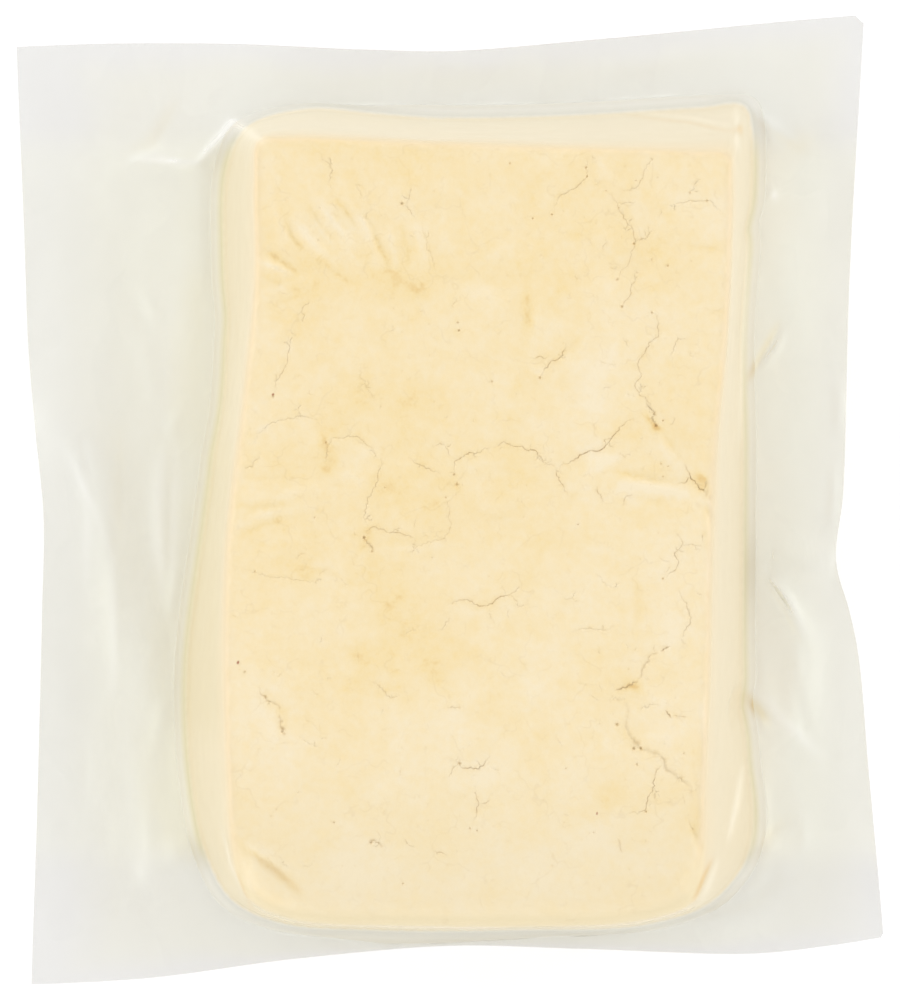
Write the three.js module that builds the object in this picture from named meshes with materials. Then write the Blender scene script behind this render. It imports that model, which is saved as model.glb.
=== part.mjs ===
// A pressed tofu block, vacuum packed in a clear pouch.
// Millimetres, +Z up. The pack lies on its back: the sealed face is down, the formed side is up,
// and the flat seam margin stands out all round just above the surface.
// +Y runs along the long side of the block. The origin is the bottom centre of the whole pack.
//
// The skin is a subdivided box. Its top is the upper face of the block, its bottom is the resting
// face, and the rows of its four sides are drawn out into the walls and the film margin.

import * as THREE from "three";
import { mergeVertices } from "three/addons/utils/BufferGeometryUtils.js";

// Heights and thicknesses.
const BLOCK_HEIGHT = 37.6;
const FACE_CROWN = 0.4;
const CROWN_REACH = [45, 72];
const SEAM_HEIGHT = 3.5;
const MARGIN_THICKNESS = 0.8;
const MARGIN_CLEARANCE = 0.4;

// Roundings.
const EDGE_ROUND = 1.7;
const LOWER_EDGE_ROUND = 6.0;
const LOWER_EDGE_STARTS = -50;
const LOWER_EDGE_FULL = -68;
const FOOT_FILLET = 2.4;
const BASE_INSET = 2.6;

// Grid of the skin: cells across and along the block, and rows from its face to its base.
const CELLS_ACROSS = 20;
const CELLS_ALONG = 28;
const ROUND_STEPS = 3;
const WALL_STEPS = 2;
const FILLET_STEPS = 2;
const MARGIN_STEPS = 8;
const RIM_STEPS = 1;
const BASE_STEPS = 2;

// Each outline runs anticlockwise, seen from above, from the top left corner. Each row is one side,
// and the first point of a row is the corner that it starts from.

// The edge of the upper face.
const FACE_OUTLINE = [
  [
    [-31.3, 58.7], [-32, 52], [-31.9, 36], [-34, 15],
    [-36.6, -6.6], [-36.9, -27], [-36.4, -45], [-35.4, -57.5],
  ],
  [[-32.3, -65.4], [-24.5, -69], [-8.2, -69.9], [11.4, -70.1], [30.5, -69.3]],
  [
    [39.3, -65.6], [41.2, -57.5], [41.7, -46], [42.5, -28], [42.8, -10],
    [43.6, 8], [45.2, 25], [46, 40], [46.1, 53],
  ],
  [[45.7, 56.4], [39, 57.1], [16, 57.9], [-11, 58.9], [-26.5, 59.4]],
];

// The foot of the walls, where they meet the margin.
const FOOT_OUTLINE = [
  [
    [-33.9, 62], [-37.1, 55], [-37.5, 38], [-37.4, 20],
    [-40.6, -3], [-43.7, -28], [-43, -47], [-40.4, -59.4],
  ],
  [[-36.2, -66.6], [-28, -70.6], [-12, -71.9], [12, -71.9], [33, -71]],
  [
    [46.2, -66.4], [50, -56.5], [49.4, -43], [48.7, -26], [48.7, -8],
    [48.8, 10], [48.8, 27], [49.8, 43], [50.5, 57],
  ],
  [[49.4, 65.3], [41.5, 65.7], [20, 64.5], [-8, 65.3], [-24, 65.5]],
];

// The cut edge of the pouch: sharp corners, with sides that the vacuum has drawn in.
const POUCH_OUTLINE = [
  [[-72.1, 75.4], [-71.0, 41.7], [-70.4, 26], [-69.1, 11.6], [-67.7, -3], [-68.0, -18.5], [-68.9, -50]],
  [[-69.6, -80.6], [-49.3, -79.6], [-25.9, -76.6], [0, -74.4], [21, -74.9], [50.1, -75.7], [61.8, -74.4]],
  [[72.1, -72.7], [70.0, -46], [68.2, -26], [66.6, -18.5], [64.3, -10.2], [65.6, 1.6], [66.6, 31.7]],
  [[68.8, 80.6], [50.1, 79.2], [26.7, 77.1], [0, 74.9], [-14.2, 75.2], [-37.6, 76.2], [-55.1, 76.1]],
];

// Broad swells of the margin: place, reach along X and Y, and rise above the seam.
const MARGIN_SWELLS = [
  { at: [-72, 75], reach: [20, 20], rise: 6.0 },
  { at: [69, 81], reach: [22, 20], rise: 7.5 },
  { at: [72, -73], reach: [18, 20], rise: 6.0 },
  { at: [-70, -81], reach: [22, 20], rise: 6.5 },
  { at: [-66, 0], reach: [14, 30], rise: 4.0 },
  { at: [66, -10], reach: [12, 13], rise: 4.5 },
  { at: [66, 40], reach: [12, 16], rise: -2.0 },
  { at: [68, -45], reach: [10, 14], rise: -1.5 },
  { at: [0, 76], reach: [26, 8], rise: 1.5 },
  { at: [-5, -76], reach: [24, 6], rise: 1.2 },
  { at: [-58, 40], reach: [12, 14], rise: -1.6 },
  { at: [-58, -50], reach: [12, 14], rise: -1.6 },
];

// Broad swells and hollows of the upper face.
const FACE_SWELLS = [
  { at: [-7, 0], reach: [9, 8], rise: 0.35 },
  { at: [-27, -16], reach: [9, 18], rise: 0.3 },
  { at: [-24, 37], reach: [12, 14], rise: 0.35 },
  { at: [12, 30], reach: [16, 10], rise: 0.3 },
  { at: [37, 5], reach: [5, 6], rise: -0.8 },
  { at: [30, 41], reach: [4, 12], rise: -0.45 },
  { at: [30, -30], reach: [4, 13], rise: -0.5 },
  { at: [33, -47], reach: [8, 8], rise: 0.3 },
  { at: [4, -44], reach: [8, 6], rise: -0.3 },
];

// Folds of the film: a run of points, the half width of the ridge and its rise.
const FOLDS = [
  { run: [[-55, 56], [-50, 57.5], [-42, 56.7], [-36, 63]], halfWidth: 2.4, rise: 1.8 },
  { run: [[-68, 17], [-58, 5], [-55, -17], [-50, -34]], halfWidth: 4.5, rise: 2.0 },
  { run: [[64, -11], [53.4, -10]], halfWidth: 3.5, rise: 1.8 },
  { run: [[53, -12], [58.5, -23.5], [58.5, -37]], halfWidth: 3.0, rise: 1.6 },
  { run: [[49, -57], [58, -62]], halfWidth: 3.0, rise: 1.8 },
  { run: [[42, -70], [56, -68]], halfWidth: 3.0, rise: 1.6 },
  { run: [[-42, -58], [-52, -63]], halfWidth: 3.0, rise: 1.8 },
  { run: [[50, 64], [60, 59]], halfWidth: 2.8, rise: 1.6 },
  { run: [[-41, -57], [-33, -63], [-25, -67]], halfWidth: 2.2, rise: -1.0 },
  { run: [[44, -60], [40, -66]], halfWidth: 2.2, rise: -1.0 },
];

// The share of its rise that a fold keeps at its ends, squared.
const FOLD_END = 0.1;

const TOFU_IN_FILM = new THREE.MeshStandardMaterial({ color: 0xf7e4ba, roughness: 0.35, metalness: 0 });

const mix = THREE.MathUtils.lerp;
const smoothstep = THREE.MathUtils.smoothstep;

/** A closed or open smooth curve through points [x, y]. */
function smoothCurve(points, closed) {
  const knots = points.map(([x, y]) => new THREE.Vector3(x, y, 0));
  return new THREE.CatmullRomCurve3(knots, closed, "centripetal");
}

/** A smooth closed outline, read by side (0 to 3) and by the share of that side (0 to 1). */
function roundedOutline(sides) {
  const curve = smoothCurve(sides.flat(), true);
  const count = sides.flat().length;
  const starts = sides.map((side, index) => sides.slice(0, index).flat().length);
  return (side, share) => curve.getPoint((starts[side] + share * sides[side].length) / count);
}

/** An outline with sharp corners, read the same way. */
function corneredOutline(sides) {
  const curves = sides.map((side, index) => smoothCurve([...side, sides[(index + 1) % 4][0]], false));
  return (side, share) => curves[side].getPointAt(share);
}

const faceEdge = roundedOutline(FACE_OUTLINE);
const foot = roundedOutline(FOOT_OUTLINE);
const pouchEdge = corneredOutline(POUCH_OUTLINE);

/** The side, and the share of it, of a point on the rim of the square from -1 to 1. */
function placeOnRim(u, v) {
  if (Math.abs(u) >= Math.abs(v)) {
    return u < 0 ? [0, (1 - v) / 2] : [2, (1 + v) / 2];
  }
  return v < 0 ? [1, (1 + u) / 2] : [3, (1 - u) / 2];
}

/** The rise of one fold at a point: a rounded ridge that fades at both ends of its run. */
function foldRise(fold, x, y) {
  const legs = fold.run.slice(1).map((end, i) => [end[0] - fold.run[i][0], end[1] - fold.run[i][1]]);
  const lengths = legs.map(([dx, dy]) => Math.hypot(dx, dy));
  const total = lengths.reduce((sum, length) => sum + length, 0);
  let best = 0;
  let before = 0;
  lengths.forEach((length, i) => {
    const [ax, ay] = fold.run[i];
    const [dx, dy] = legs[i];
    const along = ((x - ax) * dx + (y - ay) * dy) / (length * length);
    const share = THREE.MathUtils.clamp(along, 0, 1);
    const away = Math.hypot(x - ax - share * dx, y - ay - share * dy);
    const fade = Math.sqrt(Math.sin((Math.PI * (before + share * length)) / total) + FOLD_END);
    best = Math.max(best, fade * Math.exp(-((away / fold.halfWidth) ** 2)));
    before += length;
  });
  return fold.rise * best;
}

const foldsRise = (x, y) => FOLDS.reduce((sum, fold) => sum + foldRise(fold, x, y), 0);

/** The rise of rounded swells at a point. */
function swellsRise(swells, x, y) {
  return swells.reduce((sum, { at, reach, rise }) => {
    const far = ((x - at[0]) / reach[0]) ** 2 + ((y - at[1]) / reach[1]) ** 2;
    return sum + rise * Math.exp(-far);
  }, 0);
}

/** The middle of the margin film above the surface. */
function marginHeight(x, y) {
  const lowest = MARGIN_CLEARANCE + MARGIN_THICKNESS / 2;
  return Math.max(SEAM_HEIGHT + swellsRise(MARGIN_SWELLS, x, y) + foldsRise(x, y), lowest);
}

/** The upper face: slightly crowned and uneven, with the folds of the film where they cross it. */
function faceHeight(x, y) {
  const across = Math.max(0, 1 - (x / CROWN_REACH[0]) ** 2);
  const along = Math.max(0, 1 - (y / CROWN_REACH[1]) ** 2);
  return BLOCK_HEIGHT + FACE_CROWN * across * along + swellsRise(FACE_SWELLS, x, y) + foldsRise(x, y);
}

/** A point of the bend from a through the corner to b. */
function bend(a, corner, b, share) {
  return new THREE.QuadraticBezierCurve3(a, corner, b).getPoint(share);
}

/** The points that lead the skin from the face to the base at one place on the rim. */
function section(u, v) {
  const [side, share] = placeOnRim(u, v);
  const edge = faceEdge(side, share);
  const low = foot(side, share);
  const rim = pouchEdge(side, share);
  const crisp = smoothstep(edge.y, LOWER_EDGE_FULL, LOWER_EDGE_STARTS);
  const round = mix(LOWER_EDGE_ROUND, EDGE_ROUND, crisp);
  const inner = edge.clone().multiplyScalar(1 - round / edge.length());
  inner.z = faceHeight(inner.x, inner.y);
  edge.z = faceHeight(edge.x, edge.y);
  low.z = marginHeight(low.x, low.y);
  const down = low.clone().sub(edge).normalize();
  const out = rim.clone().sub(low).setZ(0).normalize();
  const shoulder = edge.clone().addScaledVector(down, round);
  const heel = low.clone().addScaledVector(down, -FOOT_FILLET);
  const toe = low.clone().addScaledVector(out, FOOT_FILLET);
  toe.z = marginHeight(toe.x, toe.y);
  const base = low.clone().addScaledVector(out, -BASE_INSET).setZ(0);
  return { inner, edge, shoulder, heel, low, toe, rim, base };
}

/** A point of the margin, from the toe of the fillet to the cut edge, on its upper or lower side. */
function marginPoint({ toe, rim }, share, upper) {
  const point = toe.clone().lerp(rim, share);
  point.z = marginHeight(point.x, point.y) + (upper ? 0.5 : -0.5) * MARGIN_THICKNESS;
  return point;
}

/** The rows of the skin in order, each as its number of steps and the place of a step. */
const ROWS = [
  [ROUND_STEPS, (s, share) => bend(s.inner, s.edge, s.shoulder, share)],
  [WALL_STEPS, (s, share) => s.shoulder.clone().lerp(s.heel, share)],
  [FILLET_STEPS, (s, share) => bend(s.heel, s.low, marginPoint(s, 0, true), share)],
  [MARGIN_STEPS, (s, share) => marginPoint(s, share, true)],
  [RIM_STEPS, (s) => marginPoint(s, 1, false)],
  [MARGIN_STEPS, (s, share) => marginPoint(s, 1 - share, false)],
  [BASE_STEPS, (s, share) => marginPoint(s, 0, false).lerp(s.base, share)],
];
const ROW_COUNT = ROWS.reduce((sum, [steps]) => sum + steps, 0);

/** The place of the skin on a given row, counted from the edge of the face. */
function rowPoint(u, v, row) {
  const lines = section(u, v);
  let first = 0;
  for (const [steps, place] of ROWS) {
    if (row <= first + steps) {
      return place(lines, (row - first) / steps);
    }
    first += steps;
  }
  return lines.base;
}

/** The place of a point of the box on the skin of the pack. */
function skinPoint(u, v, w) {
  const row = Math.round(((1 - w) / 2) * ROW_COUNT);
  const spread = Math.max(Math.abs(u), Math.abs(v));
  if (row > 0 && row < ROW_COUNT) {
    return rowPoint(u, v, row);
  }
  if (spread === 0) {
    return new THREE.Vector3(0, 0, row === 0 ? faceHeight(0, 0) : 0);
  }
  const rimPoint = rowPoint(u / spread, v / spread, row);
  const point = rimPoint.multiplyScalar(spread);
  point.z = row === 0 ? faceHeight(point.x, point.y) : 0;
  return point;
}

/** The closed skin of block and pouch, standing on its bottom centre. */
function packGeometry() {
  const box = new THREE.BoxGeometry(2, 2, 2, CELLS_ACROSS, CELLS_ALONG, ROW_COUNT);
  box.deleteAttribute("normal");
  box.deleteAttribute("uv");
  const skin = mergeVertices(box);
  const places = skin.attributes.position;
  for (let i = 0; i < places.count; i += 1) {
    const point = skinPoint(places.getX(i), places.getY(i), places.getZ(i));
    places.setXYZ(i, point.x, point.y, point.z);
  }
  skin.computeBoundingBox();
  const centre = skin.boundingBox.getCenter(new THREE.Vector3());
  skin.translate(-centre.x, -centre.y, -skin.boundingBox.min.z);
  skin.computeVertexNormals();
  return skin;
}

const pack = new THREE.Mesh(packGeometry(), TOFU_IN_FILM);
pack.name = "vacuum_pack";

const part = new THREE.Group();
part.add(pack);

export default part;
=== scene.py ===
"""A pressed tofu block, vacuum packed in a clear pouch, lying on its back.

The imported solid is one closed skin. It is replaced by what it stands for: the block itself, with its
cracks and pits, and the two webs of film that are drawn tight over it and sealed round the margin.
Tables are in millimetres. Marks on the block are read in pixels of the 900 x 1000 frame.
"""

import math

import bpy
import numpy as np
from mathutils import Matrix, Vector
from mathutils.geometry import delaunay_2d_cdt
from mathutils.kdtree import KDTree


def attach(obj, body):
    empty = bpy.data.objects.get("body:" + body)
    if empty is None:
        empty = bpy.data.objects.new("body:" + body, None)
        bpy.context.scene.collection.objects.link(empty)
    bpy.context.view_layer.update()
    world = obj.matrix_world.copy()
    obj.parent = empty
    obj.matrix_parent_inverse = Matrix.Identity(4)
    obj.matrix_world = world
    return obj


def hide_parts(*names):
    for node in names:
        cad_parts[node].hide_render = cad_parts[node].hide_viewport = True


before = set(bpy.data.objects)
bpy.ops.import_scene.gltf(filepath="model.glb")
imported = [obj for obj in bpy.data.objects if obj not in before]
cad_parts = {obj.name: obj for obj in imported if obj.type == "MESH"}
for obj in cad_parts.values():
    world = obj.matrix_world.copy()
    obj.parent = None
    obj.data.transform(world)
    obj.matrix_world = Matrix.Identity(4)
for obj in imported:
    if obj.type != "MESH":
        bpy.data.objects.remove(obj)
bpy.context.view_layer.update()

NODE = "vacuum_pack"
BODY = "root"
MM = 0.001

# ---------------------------------------------------------------- camera and frame

FRAME_HEIGHT = 1000
CAMERA_HEIGHT = 1500.0
MARGIN_PIXEL = 0.167
SEAM_HEIGHT = 3.5
BLOCK_HEIGHT = 37.6
SENSOR = 36.0
CLIP_END = 20
FRAME_MIDDLE = (450.0, 499.5)
FACE_PIXEL = MARGIN_PIXEL * (CAMERA_HEIGHT - BLOCK_HEIGHT) / (CAMERA_HEIGHT - SEAM_HEIGHT)


def on_face(pixels):
    """Places on the upper face, in millimetres, of points read in the frame."""
    spots = np.asarray(pixels, float)
    return np.stack([(spots[..., 0] - FRAME_MIDDLE[0]) * FACE_PIXEL,
                     (FRAME_MIDDLE[1] - spots[..., 1]) * FACE_PIXEL], axis=-1)


def on_margin(pixels):
    """Places on the seam margin, in millimetres, of points read in the frame."""
    return on_face(pixels) * (MARGIN_PIXEL / FACE_PIXEL)


# ---------------------------------------------------------------- form of the solid

FACE_CROWN = 0.4
CROWN_REACH = (45.0, 72.0)
EDGE_ROUND = 1.7
LOWER_EDGE_ROUND = 6.0
LOWER_EDGE_STARTS = -50.0
LOWER_EDGE_FULL = -68.0
FOOT_FILLET = 2.4
BASE_INSET = 2.6
MARGIN_CLEARANCE = 0.8
FOLD_END = 0.1
FOLD_REACH = 3.2
OUTLINE_SAMPLES = 1200
FOOT_SAMPLES = 900
WAVE_COUNT = 14
WAVE_SPAN = (0.7, 1.5)

# Outlines run anticlockwise from the top left corner, one row for each side.
FACE_OUTLINE = [
    [(-31.3, 58.7), (-32, 52), (-31.9, 36), (-34, 15),
     (-36.6, -6.6), (-36.9, -27), (-36.4, -45), (-35.4, -57.5)],
    [(-32.3, -65.4), (-24.5, -68.8), (-8.2, -69.6), (11.4, -69.8), (30.5, -68.9)],
    [(39.3, -65.6), (41.2, -57.5), (41.7, -46), (42.5, -28), (42.8, -10),
     (43.6, 8), (45.2, 25), (46, 40), (46.1, 53)],
    [(45.7, 56.4), (39, 57.1), (16, 57.9), (-11, 58.9), (-26.5, 59.4)],
]
FOOT_OUTLINE = [
    [(-33.9, 62), (-37.1, 55), (-37.5, 38), (-37.4, 20),
     (-40.6, -3), (-43.7, -28), (-43, -47), (-40.4, -59.4)],
    [(-36.2, -66.6), (-28, -70.4), (-12, -71.6), (12, -71.5), (33, -70.6)],
    [(44.1, -66.4), (50, -56.5), (49.4, -43), (48.7, -26), (48.7, -8),
     (48.8, 10), (48.5, 27), (49.6, 43), (50.2, 61.8)],
    [(48.9, 65.6), (41.5, 65.3), (20, 64), (-2, 63.6), (-12, 64.3), (-24, 65.1)],
]
POUCH_OUTLINE = [
    [(-72.1, 75.4), (-71, 41.7), (-70.4, 26), (-69.1, 11.6), (-67.7, -3), (-68, -18.5), (-68.9, -50)],
    [(-69.6, -80.6), (-49.3, -79.6), (-25.9, -76.6), (0, -74.4), (21, -74.9), (50.1, -75.7), (61.8, -74.4)],
    [(72.1, -72.7), (70, -46), (68.2, -26), (66.6, -18.5), (64.3, -10.2), (65.6, 1.6), (66.6, 31.7)],
    [(68.8, 80.6), (50.1, 79.2), (26.7, 77.1), (0, 74.9), (-14.2, 75.2), (-37.6, 76.2), (-55.1, 76.1)],
]

# Where the foot of the walls stands in or out: place in pixels, reach in mm, outward push in mm.
FOOT_WAVES = [
    ((752, 190), 4.0, 0.3),
    ((746, 224), 2.0, -0.7),
    ((738, 708), 3.0, -1.0),
    ((747, 790), 5.0, 0.3),
    ((745, 862), 4.0, 0.4),
    ((228, 312), 4.5, -0.6),
    ((216, 455), 4.0, 0.25),
]

# Swells: place, reach along X and Y, rise.
MARGIN_SWELLS = [
    ((-72, 75), (20, 20), 6.0),
    ((69, 81), (22, 20), 7.5),
    ((72, -73), (18, 20), 6.0),
    ((-70, -81), (22, 20), 6.5),
    ((-66, 0), (14, 30), 4.0),
    ((66, -10), (12, 13), 4.5),
    ((66, 40), (12, 16), -2.0),
    ((68, -45), (10, 14), -1.5),
    ((0, 76), (26, 8), 1.5),
    ((-5, -76), (24, 6), 1.2),
    ((-58, 40), (12, 14), -1.6),
    ((-58, -50), (12, 14), -1.6),
]
FACE_SWELLS = [
    ((-7, 0), (9, 8), 0.35),
    ((-27, -16), (9, 18), 0.3),
    ((-24, 37), (12, 14), 0.35),
    ((12, 30), (16, 10), 0.3),
    ((37, 5), (5, 6), -0.8),
    ((30, 41), (4, 12), -0.45),
    ((30, -30), (4, 13), -0.5),
    ((33, -47), (8, 8), 0.3),
    ((4, -44), (8, 6), -0.3),
]

# Folds: run of points, half width, rise.
MAIN_FOLDS = [
    ([(-55, 56), (-50, 57.5), (-42, 56.7), (-36, 63)], 2.4, 0.9),
    ([(-68, 17), (-58, 5), (-55, -17), (-50, -34)], 4.5, 2.0),
    ([(64, -11), (53.4, -10)], 3.5, 1.8),
    ([(53, -12), (58.5, -23.5), (58.5, -37)], 3.0, 1.6),
    ([(49, -57), (58, -62)], 3.0, 1.1),
    ([(42, -70), (56, -68)], 3.0, 1.0),
    ([(-42, -58), (-52, -63)], 3.0, 1.1),
    ([(50, 64), (60, 59)], 2.8, 0.8),
    ([(-41, -57), (-33, -63), (-25, -67)], 2.2, -1.0),
    ([(44, -60), (40, -66)], 2.2, -1.0),
]


def catmull_rom(knots, place, closed):
    """Points of the centripetal curve through knots, at places counted in knots."""
    knots = np.asarray(knots, float)
    count = len(knots)
    if not closed:
        knots = np.vstack([2 * knots[0] - knots[1], knots, 2 * knots[-1] - knots[-2]])
    first = np.floor(place).astype(int)
    if closed:
        share = place - first
        rows = [(first + step) % count for step in (-1, 0, 1, 2)]
    else:
        first = np.clip(first, 0, count - 2)
        share = place - first
        rows = [first + step for step in (0, 1, 2, 3)]
    p0, p1, p2, p3 = (knots[row] for row in rows)
    gap = [np.sqrt(np.linalg.norm(b - a, axis=1))[:, None] for a, b in ((p0, p1), (p1, p2), (p2, p3))]
    leave = ((p1 - p0) / gap[0] - (p2 - p0) / (gap[0] + gap[1]) + (p2 - p1) / gap[1]) * gap[1]
    reach = ((p2 - p1) / gap[1] - (p3 - p1) / (gap[1] + gap[2]) + (p3 - p2) / gap[2]) * gap[1]
    s = share[:, None]
    return (p1 + leave * s + (3 * (p2 - p1) - 2 * leave - reach) * s**2
            + (2 * (p1 - p2) + leave + reach) * s**3)


def rounded_outline(sides, side, share):
    """Points of a smooth closed outline, by side and share of the side."""
    knots = [knot for row in sides for knot in row]
    sizes = np.array([len(row) for row in sides])
    starts = np.concatenate([[0], np.cumsum(sizes)[:-1]])
    return catmull_rom(knots, starts[side] + share * sizes[side], closed=True)


def foot_outline(side, share):
    """Points of the foot of the walls, with its small waves."""
    line = rounded_outline(FOOT_OUTLINE, side, share)
    out = line / np.linalg.norm(line, axis=1)[:, None]
    for place, reach, push in FOOT_WAVES:
        away = np.linalg.norm(line - on_margin(place), axis=1)
        line = line + out * (push * np.exp(-((away / reach) ** 2)))[:, None]
    return line


def cornered_outline(sides, side, share):
    """Points of an outline with sharp corners, by side and share of the side's length."""
    points = np.zeros((len(side), 2))
    for number, row in enumerate(sides):
        knots = row + [sides[(number + 1) % 4][0]]
        fine = np.linspace(0, len(knots) - 1, OUTLINE_SAMPLES)
        line = catmull_rom(knots, fine, closed=False)
        run = np.concatenate([[0], np.cumsum(np.linalg.norm(np.diff(line, axis=0), axis=1))])
        mine = side == number
        places = np.interp(share[mine] * run[-1], run, fine)
        points[mine] = catmull_rom(knots, places, closed=False)
    return points


def swells_rise(swells, x, y):
    """The summed rise of rounded swells."""
    rise = np.zeros_like(x)
    for (at_x, at_y), (reach_x, reach_y), height in swells:
        rise += height * np.exp(-((x - at_x) / reach_x) ** 2 - ((y - at_y) / reach_y) ** 2)
    return rise


def fold_rise(run, half_width, height, x, y):
    """The rise of one rounded ridge that fades at both ends of its run."""
    run = np.asarray(run, float)
    lengths = np.linalg.norm(np.diff(run, axis=0), axis=1)
    rise = np.zeros_like(x)
    reach = FOLD_REACH * half_width
    low, high = run.min(axis=0) - reach, run.max(axis=0) + reach
    near = (x > low[0]) & (x < high[0]) & (y > low[1]) & (y < high[1])
    if not near.any():
        return rise
    px, py = x[near], y[near]
    best = np.zeros_like(px)
    before = 0.0
    for start, end, length in zip(run[:-1], run[1:], lengths):
        leg = end - start
        share = np.clip(((px - start[0]) * leg[0] + (py - start[1]) * leg[1]) / length**2, 0, 1)
        away = np.hypot(px - start[0] - share * leg[0], py - start[1] - share * leg[1])
        fade = np.sqrt(np.abs(np.sin(math.pi * (before + share * length) / lengths.sum())) + FOLD_END)
        best = np.maximum(best, fade * np.exp(-((away / half_width) ** 2)))
        before += length
    rise[near] = height * best
    return rise


def folds_rise(folds, x, y):
    """The summed rise of ridges."""
    return sum((fold_rise(run, width, height, x, y) for run, width, height in folds), np.zeros_like(x))


def placed(rows, place):
    """The rows of a table of ridges, with each run moved from the frame to millimetres."""
    return [(place(run), width, rise) for run, width, rise in rows]


def smooth(low, high, value):
    """A soft step from 0 at low to 1 at high."""
    share = np.clip((value - low) / (high - low), 0, 1)
    return share * share * (3 - 2 * share)


def waves(x, y, length, seed, stretch=(1.0, 1.0)):
    """A smooth random field of about unit height: a sum of plane waves of about one length."""
    draw = np.random.default_rng(seed)
    field = np.zeros_like(x)
    for _ in range(WAVE_COUNT):
        angle = draw.uniform(0, 2 * math.pi)
        number = 2 * math.pi / (length * draw.uniform(*WAVE_SPAN))
        field += np.cos(number * (math.cos(angle) * x / stretch[0] + math.sin(angle) * y / stretch[1])
                        + draw.uniform(0, 2 * math.pi))
    return field * math.sqrt(2 / WAVE_COUNT)


def waves_sum(table, x, y, start=0.0):
    """The start, with the waves of a table added: height and length in mm, seed and stretch."""
    fields = (height * waves(x, y, length, seed, stretch) for height, length, seed, stretch in table)
    return sum(fields, start)


def margin_height(x, y):
    """The middle of the sealed margin, as the solid has it."""
    return np.maximum(SEAM_HEIGHT + swells_rise(MARGIN_SWELLS, x, y) + folds_rise(MAIN_FOLDS, x, y),
                      MARGIN_CLEARANCE)


def face_height(x, y):
    """The upper face, as the solid has it."""
    across = np.maximum(0, 1 - (x / CROWN_REACH[0]) ** 2)
    along = np.maximum(0, 1 - (y / CROWN_REACH[1]) ** 2)
    return (BLOCK_HEIGHT + FACE_CROWN * across * along + swells_rise(FACE_SWELLS, x, y)
            + folds_rise(MAIN_FOLDS, x, y))


# ---------------------------------------------------------------- marks on the block

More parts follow.
